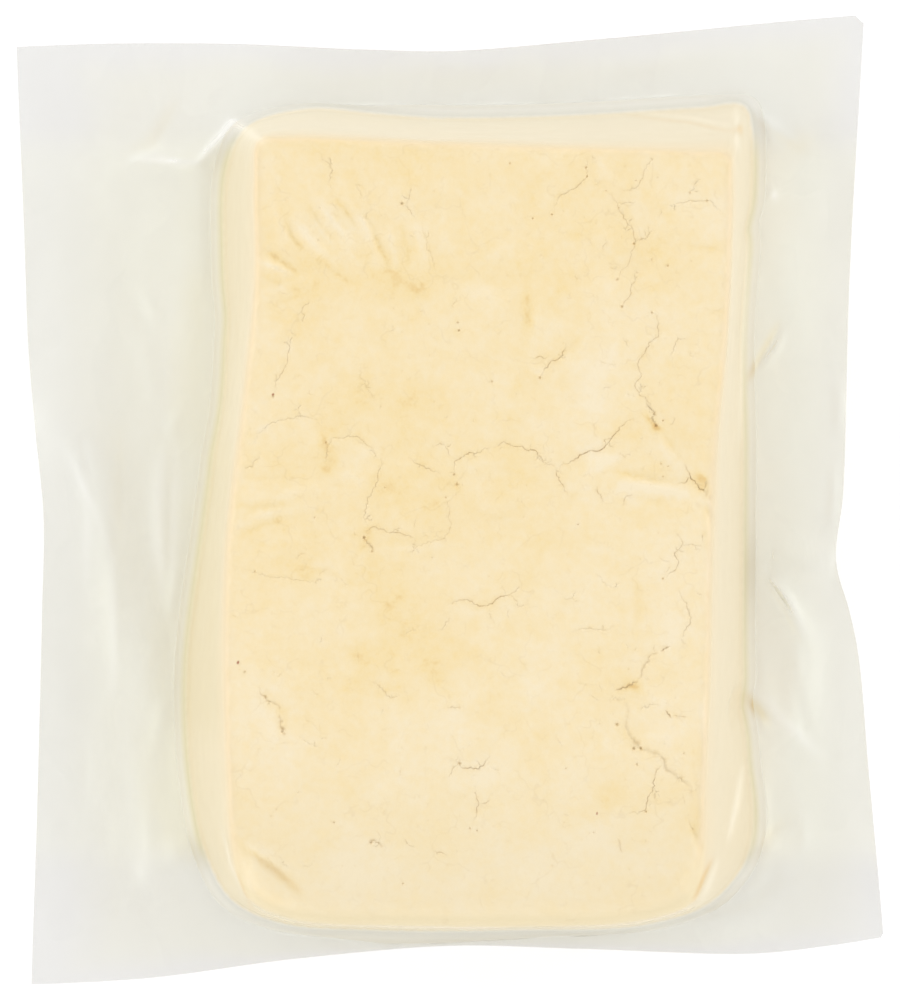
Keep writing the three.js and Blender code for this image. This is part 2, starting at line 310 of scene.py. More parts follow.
# Cracks between the curds: route in pixels, half width in mm, depth in mm, darkness in seven steps.
CRACKS = {
    "middle_left": ([(454, 474), (455, 462), (460, 457), (470, 453), (482, 450), (492, 447)],
                    0.16, 0.5, 0.7),
    "middle": ([(492, 447), (500, 443), (512, 444), (525, 447), (535, 452), (545, 461), (556, 466)],
               0.15, 0.5, 0.7),
    "middle_right": ([(556, 466), (566, 463), (577, 458), (592, 450), (604, 448), (610, 444), (613, 438),
                      (618, 430), (624, 423), (632, 417)], 0.2, 0.7, 0.85),
    "middle_branch": ([(556, 466), (556, 472), (557, 478), (562, 486), (569, 492)], 0.15, 0.4, 0.85),
    "circle_left": ([(381, 455), (380, 468), (375, 485), (370, 495), (366, 505), (364, 515), (366, 528)],
                    0.14, 0.4, 0.5),
    "circle_foot": ([(366, 536), (369, 529), (374, 526), (380, 528), (386, 532), (395, 531), (404, 533),
                     (412, 538), (418, 541)], 0.17, 0.5, 0.7),
    "circle_pit": ([(364, 537), (369, 543), (374, 551)], 0.35, 0.6, 0.85),
    "circle_right": ([(459, 474), (459, 484), (458, 492), (449, 500), (450, 515), (450, 529), (443, 537),
                      (432, 542), (420, 545), (409, 550), (398, 551)], 0.14, 0.2, 0.35),
    "inner_left": ([(406, 457), (420, 464), (432, 470), (441, 472)], 0.13, 0.3, 0.5),
    "inner_top": ([(434, 447), (439, 444), (447, 447), (450, 457)], 0.12, 0.3, 0.5),
    "arc_left": ([(252, 446), (257, 437), (269, 425), (285, 419), (302, 417), (316, 420), (325, 427)],
                 0.12, 0.3, 0.2),
    "arc_middle": ([(326, 442), (333, 438), (346, 436), (360, 437), (366, 443), (376, 452)], 0.12, 0.3, 0.35),
    "arc_drop": ([(327, 442), (327, 452), (326, 462)], 0.13, 0.3, 0.85),
    "arc_hook": ([(236, 463), (244, 466), (252, 465), (262, 452)], 0.12, 0.3, 0.2),
    "chain_top": ([(646, 318), (652, 312), (658, 320), (659, 332), (650, 343), (642, 355), (638, 364),
                   (641, 375), (634, 385), (638, 394), (646, 399), (651, 411), (656, 424)], 0.15, 0.4, 0.5),
    "chain_pit": ([(646, 399), (652, 410), (655, 420), (657, 427)], 0.6, 0.8, 0.5),
    "chain_corner": ([(684, 464), (689, 471), (694, 479), (701, 487), (708, 494), (714, 500)],
                     0.34, 0.9, 0.85),
    "chain_branch": ([(678, 484), (685, 481), (691, 476)], 0.18, 0.5, 0.5),
    "upper_right": ([(604, 190), (611, 196), (618, 204), (623, 214), (629, 226), (633, 235), (634, 245),
                     (630, 256), (625, 266), (619, 276), (616, 282)], 0.15, 0.3, 0.5),
    "upper_right_branch": ([(634, 243), (641, 239), (648, 236), (655, 229)], 0.14, 0.3, 0.35),
    "upper_right_spur": ([(617, 203), (626, 203), (636, 201)], 0.12, 0.3, 0.35),
    "upper_right_arm": ([(620, 190), (630, 189), (637, 184), (642, 174), (648, 165), (655, 155)],
                        0.13, 0.35, 0.35),
    "upper_right_tail": ([(637, 268), (634, 280), (630, 293), (626, 300), (621, 307)], 0.15, 0.3, 0.5),
    "top_drop": ([(586, 155), (588, 166), (586, 178), (577, 186), (566, 193), (558, 200), (552, 212)],
                 0.12, 0.35, 0.35),
    "mid_star": ([(540, 377), (546, 368), (552, 362), (560, 358), (563, 349), (566, 340)], 0.16, 0.5, 0.7),
    "mid_star_spur": ([(532, 358), (540, 356), (548, 357)], 0.13, 0.3, 0.5),
    "upper_pit_arm": ([(404, 203), (408, 197), (411, 191), (413, 185)], 0.12, 0.3, 0.5),
    "upper_pit_tail": ([(404, 203), (410, 210), (416, 218)], 0.13, 0.3, 0.35),
    "upper_fold": ([(422, 225), (428, 245), (432, 260), (435, 273)], 0.16, 0.2, 0.2),
    "upper_left": ([(320, 153), (326, 160), (331, 168), (330, 178), (332, 190)], 0.12, 0.3, 0.35),
    "upper_left_side": ([(354, 182), (360, 190), (363, 200)], 0.12, 0.2, 0.1),
    "left_tick": ([(311, 300), (304, 308), (297, 317)], 0.13, 0.3, 0.35),
    "left_run": ([(286, 331), (289, 344), (288, 358), (281, 371), (277, 382), (274, 394)], 0.13, 0.35, 0.35),
    "left_run_side": ([(360, 365), (361, 376), (367, 387), (376, 402)], 0.11, 0.2, 0.2),
    "right_tick": ([(672, 360), (673, 349), (675, 341), (688, 337)], 0.12, 0.3, 0.35),
    "top_right_run": ([(665, 206), (680, 202), (694, 200), (708, 200), (716, 206), (723, 214)],
                      0.12, 0.35, 0.2),
    "top_right_tick": ([(688, 195), (694, 185), (702, 177)], 0.13, 0.35, 0.2),
    "lower_upper": ([(676, 588), (683, 600), (689, 612), (690, 622), (684, 632), (680, 640)], 0.3, 0.6, 0.2),
    "lower_blot": ([(661, 651), (666, 648), (671, 646)], 0.34, 0.9, 1.1),
    "lower_link": ([(659, 651), (650, 656), (646, 663), (642, 672), (637, 680)], 0.4, 0.5, 0.5),
    "lower_blot_low": ([(637, 679), (631, 684), (622, 688), (614, 690)], 0.34, 0.9, 0.7),
    "lower_spine": ([(623, 699), (627, 711), (627, 723), (630, 733), (636, 741), (643, 748), (653, 752),
                     (661, 755), (664, 764), (670, 771), (680, 777), (688, 786), (693, 798)], 0.8, 0.8, 0.35),
    "lower_branch": ([(663, 765), (655, 773), (653, 784), (649, 795), (646, 808), (638, 812), (627, 813)],
                     0.17, 0.5, 0.7),
    "lower_pit": ([(666, 709), (669, 714), (672, 718)], 0.22, 0.7, 1.1),
    "lower_pit_tail": ([(672, 714), (680, 716), (687, 717)], 0.11, 0.2, 0.7),
    "lower_arc": ([(638, 709), (648, 705), (660, 704)], 0.12, 0.3, 0.2),
    "right_hook": ([(676, 531), (681, 539), (680, 547), (675, 556), (677, 565), (669, 573), (663, 579)],
                   0.16, 0.4, 0.5),
    "right_hook_arm": ([(681, 545), (691, 544), (702, 547)], 0.13, 0.3, 0.5),
    "right_hook_tick": ([(702, 541), (704, 535), (706, 531)], 0.16, 0.4, 0.85),
    "right_low_tick": ([(696, 590), (703, 595), (711, 597)], 0.12, 0.3, 0.7),
    "centre_dash": ([(447, 605), (456, 602), (465, 600), (475, 603), (486, 604), (498, 598), (508, 594),
                     (518, 596)], 0.15, 0.4, 0.85),
    "centre_dash_rise": ([(508, 596), (516, 590), (521, 585)], 0.12, 0.3, 0.35),
    "centre_tick": ([(438, 631), (445, 624), (452, 618)], 0.12, 0.3, 0.35),
    "left_low": ([(258, 688), (262, 694), (268, 699), (276, 704), (279, 712)], 0.4, 0.5, 0.7),
    "left_low_pit": ([(279, 714), (281, 724), (284, 736)], 0.5, 0.6, 1.1),
    "star_stem": ([(460, 757), (460, 763), (466, 767), (476, 768), (485, 762), (491, 755)], 0.18, 0.5, 0.85),
    "star_arm": ([(460, 764), (454, 770), (447, 778)], 0.15, 0.4, 0.35),
    "star_leg": ([(475, 786), (477, 795), (480, 803), (476, 812), (472, 822)], 0.14, 0.35, 0.7),
    "star_leg_side": ([(480, 803), (486, 802), (491, 799)], 0.12, 0.3, 0.5),
    "low_pit": ([(366, 842), (371, 840), (377, 842), (384, 846)], 0.45, 0.5, 0.85),
    "low_left_tick": ([(372, 681), (380, 688), (390, 696), (401, 697)], 0.12, 0.3, 0.5),
    "left_faint": ([(240, 570), (257, 571), (268, 576), (282, 578), (300, 580), (320, 581)], 0.12, 0.25, 0.2),
    "dash_right": ([(575, 628), (590, 629), (601, 628), (613, 627)], 0.12, 0.3, 0.5),
    "tick_a": ([(596, 487), (600, 493), (604, 501)], 0.13, 0.35, 0.7),
    "tick_b": ([(623, 504), (626, 498), (633, 495)], 0.12, 0.3, 0.85),
    "tick_c": ([(448, 708), (454, 707), (461, 705)], 0.12, 0.3, 0.7),
    "tick_d": ([(560, 596), (572, 600), (584, 602)], 0.11, 0.2, 0.1),
    "tick_e": ([(593, 570), (603, 580), (614, 591)], 0.11, 0.2, 0.1),
    "tick_f": ([(297, 735), (308, 742), (321, 749)], 0.11, 0.2, 0.1),
    "tick_g": ([(619, 839), (620, 845), (622, 851)], 0.13, 0.35, 1.1),
    "tick_h": ([(688, 818), (690, 826), (697, 838), (704, 850)], 0.13, 0.3, 0.35),
    "tick_i": ([(270, 845), (282, 860), (300, 873)], 0.2, 0.1, 0.1),
    "tick_j": ([(404, 836), (408, 843), (416, 846)], 0.11, 0.25, 0.2),
    "tick_k": ([(433, 851), (440, 853), (447, 855)], 0.12, 0.3, 0.5),
    "tick_l": ([(263, 911), (270, 908), (277, 904)], 0.12, 0.3, 0.35),
    "tick_m": ([(468, 137), (474, 138), (480, 138)], 0.13, 0.3, 0.5),
}

# Pits: place in pixels, radius in mm, depth in mm, darkness.
PITS = [
    ((457, 484), 0.45, 0.7, 0.4), ((454, 474), 0.35, 0.6, 0.5), ((446, 497), 0.3, 0.4, 0.3),
    ((364, 537), 0.4, 0.8, 0.65), ((402, 203), 0.4, 0.7, 0.75), ((656, 425), 0.5, 0.8, 0.5),
    ((663, 420), 0.3, 0.5, 0.4), ((326, 442), 0.4, 0.6, 0.4), ((622, 306), 0.35, 0.6, 0.55),
    ((540, 377), 0.35, 0.6, 0.7), ((552, 214), 0.3, 0.5, 0.55), ((634, 243), 0.35, 0.6, 0.5),
    ((617, 724), 0.5, 0.8, 0.35), ((634, 748), 0.45, 0.7, 0.4), ((641, 748), 0.35, 0.7, 0.4),
    ((637, 764), 0.4, 0.5, 0.3), ((646, 811), 0.3, 0.5, 0.5), ((663, 578), 0.3, 0.5, 0.4),
    ((460, 763), 0.4, 0.7, 0.55), ((371, 842), 0.4, 0.7, 0.5), ((459, 330), 0.35, 0.6, 0.6),
    ((458, 322), 0.3, 0.4, 0.5), ((668, 265), 0.3, 0.4, 0.6), ((578, 524), 0.28, 0.4, 0.6),
    ((315, 517), 0.3, 0.3, 0.4), ((492, 381), 0.28, 0.4, 0.5), ((510, 163), 0.28, 0.4, 0.4),
    ((533, 218), 0.28, 0.4, 0.45), ((403, 883), 0.28, 0.4, 0.45), ((470, 828), 0.3, 0.4, 0.45),
    ((477, 830), 0.26, 0.4, 0.4), ((245, 671), 0.35, 0.4, 0.65), ((273, 396), 0.35, 0.5, 0.5),
    ((372, 551), 0.35, 0.5, 0.5), ((706, 484), 0.4, 0.6, 0.35), ((661, 463), 0.28, 0.3, 0.5),
    ((668, 466), 0.28, 0.3, 0.45), ((663, 476), 0.26, 0.3, 0.5), ((255, 571), 0.3, 0.4, 0.4),
    ((231, 541), 0.3, 0.3, 0.35), ((232, 611), 0.35, 0.4, 0.35), ((334, 822), 0.3, 0.4, 0.4),
    ((684, 753), 0.28, 0.3, 0.35), ((566, 768), 0.26, 0.3, 0.3), ((594, 832), 0.28, 0.3, 0.3),
    ((586, 167), 0.35, 0.5, 0.65), ((587, 176), 0.28, 0.4, 0.5), ((606, 190), 0.28, 0.3, 0.45),
    ((619, 207), 0.26, 0.3, 0.4), ((642, 239), 0.26, 0.3, 0.45), ((617, 279), 0.35, 0.5, 0.65),
    ((637, 272), 0.24, 0.3, 0.4), ((652, 259), 0.3, 0.3, 0.4), ((652, 312), 0.32, 0.5, 0.55),
    ((690, 192), 0.26, 0.3, 0.4), ((707, 200), 0.3, 0.4, 0.5), ((652, 159), 0.26, 0.3, 0.45),
    ((636, 180), 0.26, 0.3, 0.4), ((265, 697), 0.35, 0.4, 0.6), ((282, 731), 0.4, 0.5, 0.7),
    ((318, 240), 0.24, 0.2, 0.35), ((385, 487), 0.24, 0.3, 0.3), ((432, 557), 0.24, 0.2, 0.3),
]

# Specks of colour: place in pixels, half length and half width in mm, turn in degrees.
BROWN_SPECKS = [
    ((238, 662), 0.42, 0.26, 70),
    ((597, 813), 0.36, 0.15, 80),
    ((273, 394), 0.3, 0.22, 45),
]

# Ridges and valleys of the film and the curd on the face: run in pixels, half width in mm, rise in mm.
FACE_RIDGES = [
    ([(321, 200), (330, 216), (342, 232), (352, 244)], 0.60, 0.26),
    ([(356, 210), (364, 224), (371, 240), (376, 262)], 0.60, 0.23),
    ([(294, 220), (306, 233), (320, 248), (334, 262)], 0.56, 0.26),
    ([(340, 240), (350, 254), (362, 268)], 0.48, 0.16),
    ([(274, 206), (279, 222), (286, 242)], 0.48, 0.18),
    ([(416, 224), (420, 240), (426, 262)], 0.64, 0.21),
    ([(386, 222), (392, 244), (398, 268)], 0.56, 0.16),
    ([(440, 200), (444, 226), (446, 250)], 0.56, 0.10),
    ([(284, 222), (292, 236), (304, 250)], 0.48, -0.29),
    ([(308, 204), (318, 220), (332, 240)], 0.44, -0.23),
    ([(335, 196), (345, 210), (358, 228)], 0.48, -0.26),
    ([(266, 250), (280, 260), (298, 272)], 0.56, -0.26),
    ([(374, 236), (384, 254), (391, 274)], 0.56, -0.21),
    ([(322, 262), (336, 272), (350, 284)], 0.48, -0.16),
    ([(402, 222), (406, 244), (410, 266)], 0.56, -0.16),
    ([(262, 262), (272, 266), (290, 274)], 0.48, 0.39),
    ([(240, 258), (252, 259), (264, 261)], 0.48, 0.16),
    ([(256, 272), (272, 280), (290, 286)], 0.40, -0.16),
    ([(265, 292), (285, 286), (306, 276)], 0.64, 0.18),
    ([(270, 306), (290, 299), (312, 290)], 0.56, -0.16),
    ([(300, 296), (308, 286), (316, 272)], 0.40, 0.13),
    ([(330, 210), (338, 222), (344, 230)], 0.35, -0.14),
    ([(318, 224), (328, 238), (338, 250)], 0.4, 0.16),
    ([(300, 232), (312, 246), (326, 258)], 0.4, 0.14),
    ([(352, 196), (362, 212), (370, 228)], 0.4, -0.12),
    ([(366, 214), (374, 230), (380, 250)], 0.4, -0.14),
    ([(612, 470), (640, 477), (674, 483)], 0.45, -0.2),
    ([(618, 483), (645, 487), (672, 489), (694, 493)], 0.9, 0.3),
    ([(636, 497), (656, 501), (674, 500)], 0.8, -0.14),
    ([(656, 433), (664, 448), (676, 464), (684, 474)], 1.2, 0.2),
    ([(660, 428), (670, 444), (684, 462)], 0.45, -0.16),
    ([(588, 470), (606, 460), (626, 456)], 1.1, 0.22),
    ([(700, 497), (711, 506), (718, 524), (723, 548)], 0.5, 0.22),
    ([(693, 497), (698, 515), (701, 540)], 0.4, 0.12),
    ([(704, 502), (709, 516), (713, 540)], 0.45, -0.14),
    ([(240, 525), (257, 517), (276, 511), (312, 506)], 0.7, 0.2),
    ([(243, 535), (262, 525), (285, 519)], 0.6, -0.16),
    ([(238, 498), (258, 498), (285, 495), (320, 486)], 0.7, 0.16),
    ([(240, 507), (262, 507), (290, 504)], 0.5, -0.12),
    ([(240, 560), (262, 554), (290, 552)], 0.7, 0.12),
    ([(262, 543), (284, 538), (310, 540)], 0.6, 0.1),
    ([(330, 470), (352, 476), (372, 488)], 0.6, 0.12),
    ([(322, 486), (342, 484), (356, 488)], 0.4, -0.1),
    ([(300, 566), (330, 572), (352, 584)], 0.5, -0.1),
    ([(356, 560), (380, 552), (404, 556)], 0.8, 0.1),
    ([(392, 548), (416, 550), (442, 541)], 0.7, 0.14),
    ([(382, 540), (402, 541), (420, 545)], 0.5, -0.1),
    ([(470, 500), (490, 508), (512, 502), (520, 488)], 0.9, 0.14),
    ([(477, 513), (497, 518), (516, 515)], 0.6, -0.12),
    ([(462, 470), (480, 462), (504, 462)], 0.8, 0.1),
    ([(236, 838), (250, 851), (266, 861), (280, 872), (301, 893)], 0.7, -0.3),
    ([(228, 832), (246, 842), (268, 854), (290, 870)], 0.8, 0.1),
    ([(240, 880), (246, 893), (250, 912)], 0.45, -0.2),
    ([(245, 876), (252, 892), (258, 908)], 0.5, 0.2),
    ([(712, 862), (706, 878), (696, 900)], 0.45, -0.36),
    ([(718, 862), (712, 880), (704, 898)], 0.5, 0.3),
    ([(691, 820), (697, 842), (707, 860)], 0.6, -0.2),
    ([(640, 175), (636, 205), (640, 235)], 0.9, 0.12),
    ([(598, 158), (606, 172), (618, 186)], 0.7, 0.14),
    ([(520, 190), (523, 220), (521, 250)], 1.2, -0.1),
    ([(526, 276), (530, 310), (522, 345)], 0.9, -0.16),
    ([(540, 290), (538, 320), (532, 350)], 0.7, 0.1),
    ([(584, 334), (570, 347), (556, 360)], 0.6, -0.16),
    ([(526, 366), (534, 370), (544, 372)], 0.6, 0.22),
    ([(590, 300), (606, 290), (616, 276)], 0.8, 0.1),
    ([(484, 260), (500, 250), (516, 240)], 0.9, 0.1),
    ([(476, 290), (494, 298), (506, 316)], 1.4, 0.12),
    ([(640, 345), (658, 338), (690, 330)], 0.8, 0.12),
    ([(690, 303), (706, 300)], 0.6, -0.12),
    ([(686, 245), (708, 247), (726, 251)], 0.55, -0.16),
    ([(700, 315), (716, 312), (730, 308)], 0.6, -0.12),
    ([(605, 585), (640, 575), (665, 570)], 1.0, 0.1),
    ([(636, 580), (640, 604), (634, 634)], 0.8, -0.12),
    ([(240, 476), (262, 478), (290, 478)], 0.6, -0.14),
    ([(250, 440), (262, 428), (282, 420)], 0.8, 0.1),
    ([(330, 442), (350, 446), (368, 456)], 0.8, 0.1),
    ([(414, 470), (420, 494), (416, 516)], 1.2, 0.1),
    ([(660, 600), (676, 620), (672, 646)], 0.9, 0.12),
    ([(642, 690), (656, 700), (676, 700)], 0.9, 0.12),
    ([(640, 740), (656, 736), (676, 742)], 0.9, 0.12),
    ([(700, 700), (706, 740), (704, 790)], 0.7, 0.16),
    ([(693, 760), (697, 800), (699, 830)], 0.5, -0.12),
    ([(430, 760), (446, 770), (456, 786)], 0.8, 0.1),
    ([(250, 700), (270, 720), (278, 742)], 0.9, 0.1),
    ([(262, 690), (276, 702), (290, 728)], 0.6, -0.12),
    ([(330, 640), (356, 652), (372, 676)], 0.9, -0.1),
    ([(470, 640), (496, 630), (512, 610)], 0.9, 0.1),
    ([(440, 604), (470, 612), (500, 610)], 0.7, 0.1),
]

# Patches of deeper or paler curd: place in pixels, reach in pixels, strength.
TINT_PATCHES = [
    ((399, 287), (22, 12), 0.8), ((392, 268), (45, 26), 0.35), ((528, 308), (9, 26), 0.5),
    ((555, 288), (8, 15), 0.55), ((534, 193), (8, 20), 0.5), ((457, 188), (8, 10), 0.3),
    ((470, 246), (9, 12), 0.35), ((668, 233), (20, 20), 0.4), ((659, 288), (10, 8), 0.75),
    ((623, 305), (6, 6), 0.5), ((294, 270), (11, 10), 0.65), ((274, 243), (8, 12), 0.4),
    ((415, 322), (6, 20), 0.35), ((568, 348), (16, 8), 0.35), ((700, 335), (18, 10), 0.3),
    ((365, 388), (10, 12), 0.35), ((328, 446), (9, 12), 1.1), ((410, 483), (30, 30), 0.65),
    ((447, 488), (8, 13), 0.55), ((489, 504), (23, 12), 0.6), ((368, 536), (9, 7), 0.9),
    ((368, 567), (11, 15), 0.4), ((394, 604), (25, 40), 0.55), ((362, 657), (16, 13), 0.7),
    ((389, 660), (22, 24), 0.5), ((357, 681), (9, 7), 0.7), ((391, 692), (12, 6), 0.6),
    ((431, 667), (13, 10), 0.8), ((457, 657), (12, 15), 0.65), ((510, 636), (15, 8), 0.45),
    ((478, 620), (10, 8), 0.4), ((357, 722), (12, 12), 0.35), ((584, 520), (7, 18), 0.4),
    ((563, 699), (10, 10), 0.5), ((542, 736), (14, 18), 0.3), ((399, 773), (10, 22), 0.35),
    ((386, 820), (11, 9), 0.5), ((376, 839), (8, 6), 0.6), ((320, 836), (14, 20), 0.3),
    ((608, 797), (16, 16), 1.15), ((579, 810), (16, 9), 0.4), ((613, 862), (9, 14), 0.55),
    ((694, 831), (6, 25), 0.5), ((320, 530), (50, 30), 0.25), ((262, 762), (20, 18), 0.25),
    ((637, 594), (8, 14), 0.4), ((283, 706), (9, 14), 0.4), ((655, 424), (6, 7), 2.0),
    ((705, 485), (12, 8), 2.4), ((632, 686), (9, 6), 1.4), ((628, 735), (8, 16), 0.45),
    ((670, 714), (7, 6), 0.6), ((284, 732), (5, 6), 0.5), ((640, 800), (6, 14), 0.4),
    ((489, 304), (20, 25), -0.45), ((594, 393), (24, 25), -0.55), ((494, 404), (22, 22), -0.4),
    ((532, 368), (10, 6), -0.5), ((612, 458), (26, 7), -0.6), ((648, 440), (14, 16), -0.4),
    ((640, 494), (44, 8), -0.75), ((663, 532), (34, 28), -0.35), ((552, 636), (28, 46), -0.35),
    ((584, 725), (22, 32), -0.4), ((452, 736), (38, 22), -0.4), ((320, 762), (34, 20), -0.3),
    ((505, 768), (44, 20), -0.35), ((489, 862), (70, 32), -0.4), ((680, 741), (18, 40), -0.4),
    ((283, 330), (12, 14), -0.3), ((360, 880), (60, 24), -0.3), ((660, 870), (26, 26), -0.35),
    ((475, 205), (60, 55), 0.5), ((635, 215), (60, 60), 0.35), ((545, 290), (60, 45), 0.3),
    ((400, 295), (60, 40), 0.25), ((310, 425), (50, 95), 0.5), ((455, 425), (95, 85), 0.5),
    ((635, 470), (50, 45), 0.2), ((350, 560), (75, 45), 0.3), ((400, 690), (60, 90), 0.5),
    ((480, 665), (55, 60), 0.3), ((650, 835), (50, 45), -0.3),
]


# Creases whose light and dark are painted into the colour: run in pixels, half width in mm, and how strong
# the painted highlight where a crease catches the light, or, where it is below zero, how dark, which is whey
# held in it and painted shade.
CREASES = [
    ([(130, 157), (140, 156), (165, 158), (182, 163), (198, 162)], 0.5, 0.7),
    ([(200, 157), (216, 140), (232, 121), (246, 130), (262, 140)], 0.7, 0.8),
    ([(130, 155), (150, 142), (165, 120), (175, 102)], 1.2, -0.2),
    ([(737, 106), (737, 128), (738, 148)], 0.45, 0.6),
    ([(738, 124), (739, 133)], 0.8, -1.0),
    ([(750, 110), (765, 126), (790, 143), (803, 150)], 0.6, -0.15),
    ([(755, 106), (774, 122), (800, 140)], 0.6, 0.25),
    ([(788, 138), (812, 148)], 2.2, -0.25),
    ([(774, 189), (775, 200)], 0.6, 0.5),
    ([(630, 115), (690, 122), (733, 131)], 0.3, -0.3),
    ([(632, 111), (690, 117), (732, 125)], 0.3, 0.25),
    ([(748, 240), (742, 350), (740, 440)], 0.4, 0.4),
    ([(778, 323), (770, 338), (762, 353), (749, 378)], 0.6, -0.6),
    ([(783, 330), (772, 348), (757, 372)], 0.5, 0.2),
    ([(742, 690), (750, 701)], 0.8, -0.15),
    ([(751, 699), (757, 707), (767, 720)], 0.85, -1.0),
    ([(738, 690), (743, 706), (745, 724)], 0.9, -0.12),
    ([(766, 580), (783, 606), (800, 640)], 0.7, -0.3),
    ([(773, 578), (790, 604), (806, 634)], 0.7, 0.3),
    ([(760, 690), (780, 718), (815, 750)], 0.9, 0.35),
    ([(743, 765), (738, 800), (729, 840)], 0.5, 0.5),
    ([(719, 860), (711, 882), (702, 902)], 0.5, 0.4),
    ([(758, 830), (755, 857), (743, 877), (728, 896), (704, 912)], 1.1, 0.3),
    ([(712, 860), (703, 880), (694, 901)], 0.4, -1.0),
    ([(756, 838), (758, 866), (752, 896)], 2.4, -0.1),
    ([(786, 818), (770, 834), (758, 848)], 1.0, -0.2),
    ([(60, 440), (90, 500), (115, 560)], 0.5, 0.25),
    ([(85, 440), (87, 520), (85, 600)], 0.6, 0.2),
    ([(112, 560), (114, 640), (112, 700)], 0.7, 0.25),
    ([(121, 430), (117, 500), (122, 560)], 0.7, -0.12),
    ([(163, 460), (160, 520), (163, 600)], 1.2, 0.3),
    ([(169, 460), (166, 540), (169, 600)], 0.6, -0.2),
    ([(176, 440), (173, 520), (171, 610)], 0.8, 0.25),
    ([(219, 832), (228, 862), (246, 898)], 0.35, 0.25),
    ([(237, 872), (244, 892), (252, 909)], 0.3, -0.5),
    ([(252, 853), (275, 870), (300, 891)], 0.6, -0.55),
    ([(246, 843), (262, 855), (276, 866)], 0.4, 0.25),
]


def creases_at(x, y, z):
    """The painted highlight, or the whey and painted shade, that the creases put on points, from -1 to 1."""
    scale = (CAMERA_HEIGHT - SEAM_HEIGHT) / (CAMERA_HEIGHT - z)
    return np.clip(folds_rise(placed(CREASES, on_margin), x * scale, y * scale), -1, 1)


SPOT_WANDER = 0.9
SPOT_WAVE = 6


def soft_spots(spots, x, y):
    """The sum of soft uneven marks on the face, each given by place, reach and strength."""
    total = np.zeros_like(x)
    x, y = x + SPOT_WANDER * waves(x, y, SPOT_WAVE, 71), y + SPOT_WANDER * waves(x, y, SPOT_WAVE, 72)
    for place, reach, strength in spots:
        at = on_face(place)
        size = np.array(reach) * FACE_PIXEL
        total += strength * np.exp(-((x - at[0]) / size[0]) ** 2 - ((y - at[1]) / size[1]) ** 2)
    return total


# ---------------------------------------------------------------- mesh helpers

TRIANGLES_INSIDE = 1
FILL_EPSILON = 1e-6
TINY = 1e-9
HEX_ROW = 0.866
JITTER = 0.25


def around(count):
    """Places round the pack, counted in sides, that are evenly spaced along the foot of the walls."""
    side = np.repeat(np.arange(4), FOOT_SAMPLES)
    share = np.tile(np.arange(FOOT_SAMPLES) / FOOT_SAMPLES, 4)
    line = foot_outline(side, share)
    steps = np.linalg.norm(np.roll(line, -1, axis=0) - line, axis=1)
    run = np.concatenate([[0], np.cumsum(steps)])
    return np.interp(np.arange(count) / count * run[-1], run, np.append(side + share, 4.0))


def split_places(places):
    """The side of each place, and its share of that side."""
    side = np.minimum(np.floor(places).astype(int), 3)
    return side, places - side


def sections(places):
    """The guide lines of the skin at places round the pack, each as an array of points."""
    side, share = split_places(places)
    edge = rounded_outline(FACE_OUTLINE, side, share)
    low = foot_outline(side, share)
    rim = cornered_outline(POUCH_OUTLINE, side, share)
    crisp = smooth(LOWER_EDGE_FULL, LOWER_EDGE_STARTS, edge[:, 1])
    round_size = LOWER_EDGE_ROUND + (EDGE_ROUND - LOWER_EDGE_ROUND) * crisp
    inner = edge * (1 - round_size / np.linalg.norm(edge, axis=1))[:, None]
    out = rim - low
    out /= np.linalg.norm(out, axis=1)[:, None]
    return {"inner": lift(inner, face_height), "edge": lift(edge, face_height),
            "low": lift(low, margin_height), "rim": lift(rim, margin_height),
            "out": np.column_stack([out, np.zeros(len(out))]), "round": round_size[:, None]}


def lift(flat, height):
    """Flat points, lifted to the height that a function gives them."""
    return np.column_stack([flat, height(flat[:, 0], flat[:, 1])])


def unit(lines):
    """Each row at length one."""
    return lines / np.linalg.norm(lines, axis=1)[:, None]


def bend(start, corner, end, share):
    """A ring of the curve that leaves start toward the corner and turns to end."""
    return start * (1 - share) ** 2 + corner * 2 * share * (1 - share) + end * share**2


def ring_faces(count, rings):
    """Triangles between rings of count points each, counted outward."""
    here = np.arange(count)
    there = (here + 1) % count
    faces = []
    for ring in range(rings - 1):
        low, high = ring * count, (ring + 1) * count
        faces.append(np.column_stack([low + here, high + here, high + there]))
        faces.append(np.column_stack([low + here, high + there, low + there]))
    return np.concatenate(faces)


def fill(boundary, inside):
    """Triangles of the flat area inside a closed boundary, with the given points in it."""
    points = [Vector(p) for p in np.vstack([boundary, inside])]
    count = len(boundary)
    loop = [(i, (i + 1) % count) for i in range(count)]
    out = delaunay_2d_cdt(points, loop, [], TRIANGLES_INSIDE, FILL_EPSILON)
    index = np.array([ids[0] if ids else -1 for ids in out[3]])
    assert len(out[0]) == len(points), "the fill moved or joined points"
    return index[np.array(out[2])]


def renumber(faces, count, boundary_start, inside_start):
    """The faces of a fill, with its boundary and inner points counted as in the whole mesh."""
    return np.where(faces < count, faces + boundary_start, faces - count + inside_start)


def box_of(points):
    """The lower left and the upper right corner of the box round flat points."""
    return points.min(axis=0), points.max(axis=0)


def inside_outline(points, outline):
    """Which points lie inside a closed outline."""
    x, y = points[:, 0], points[:, 1]
    within = np.zeros(len(points), bool)
    for (ax, ay), (bx, by) in zip(outline, np.roll(outline, -1, axis=0)):
        crosses = (ay > y) != (by > y)
        if crosses.any():
            within ^= crosses & (x < (bx - ax) * (y - ay) / (by - ay + 1e-12) + ax)
    return within


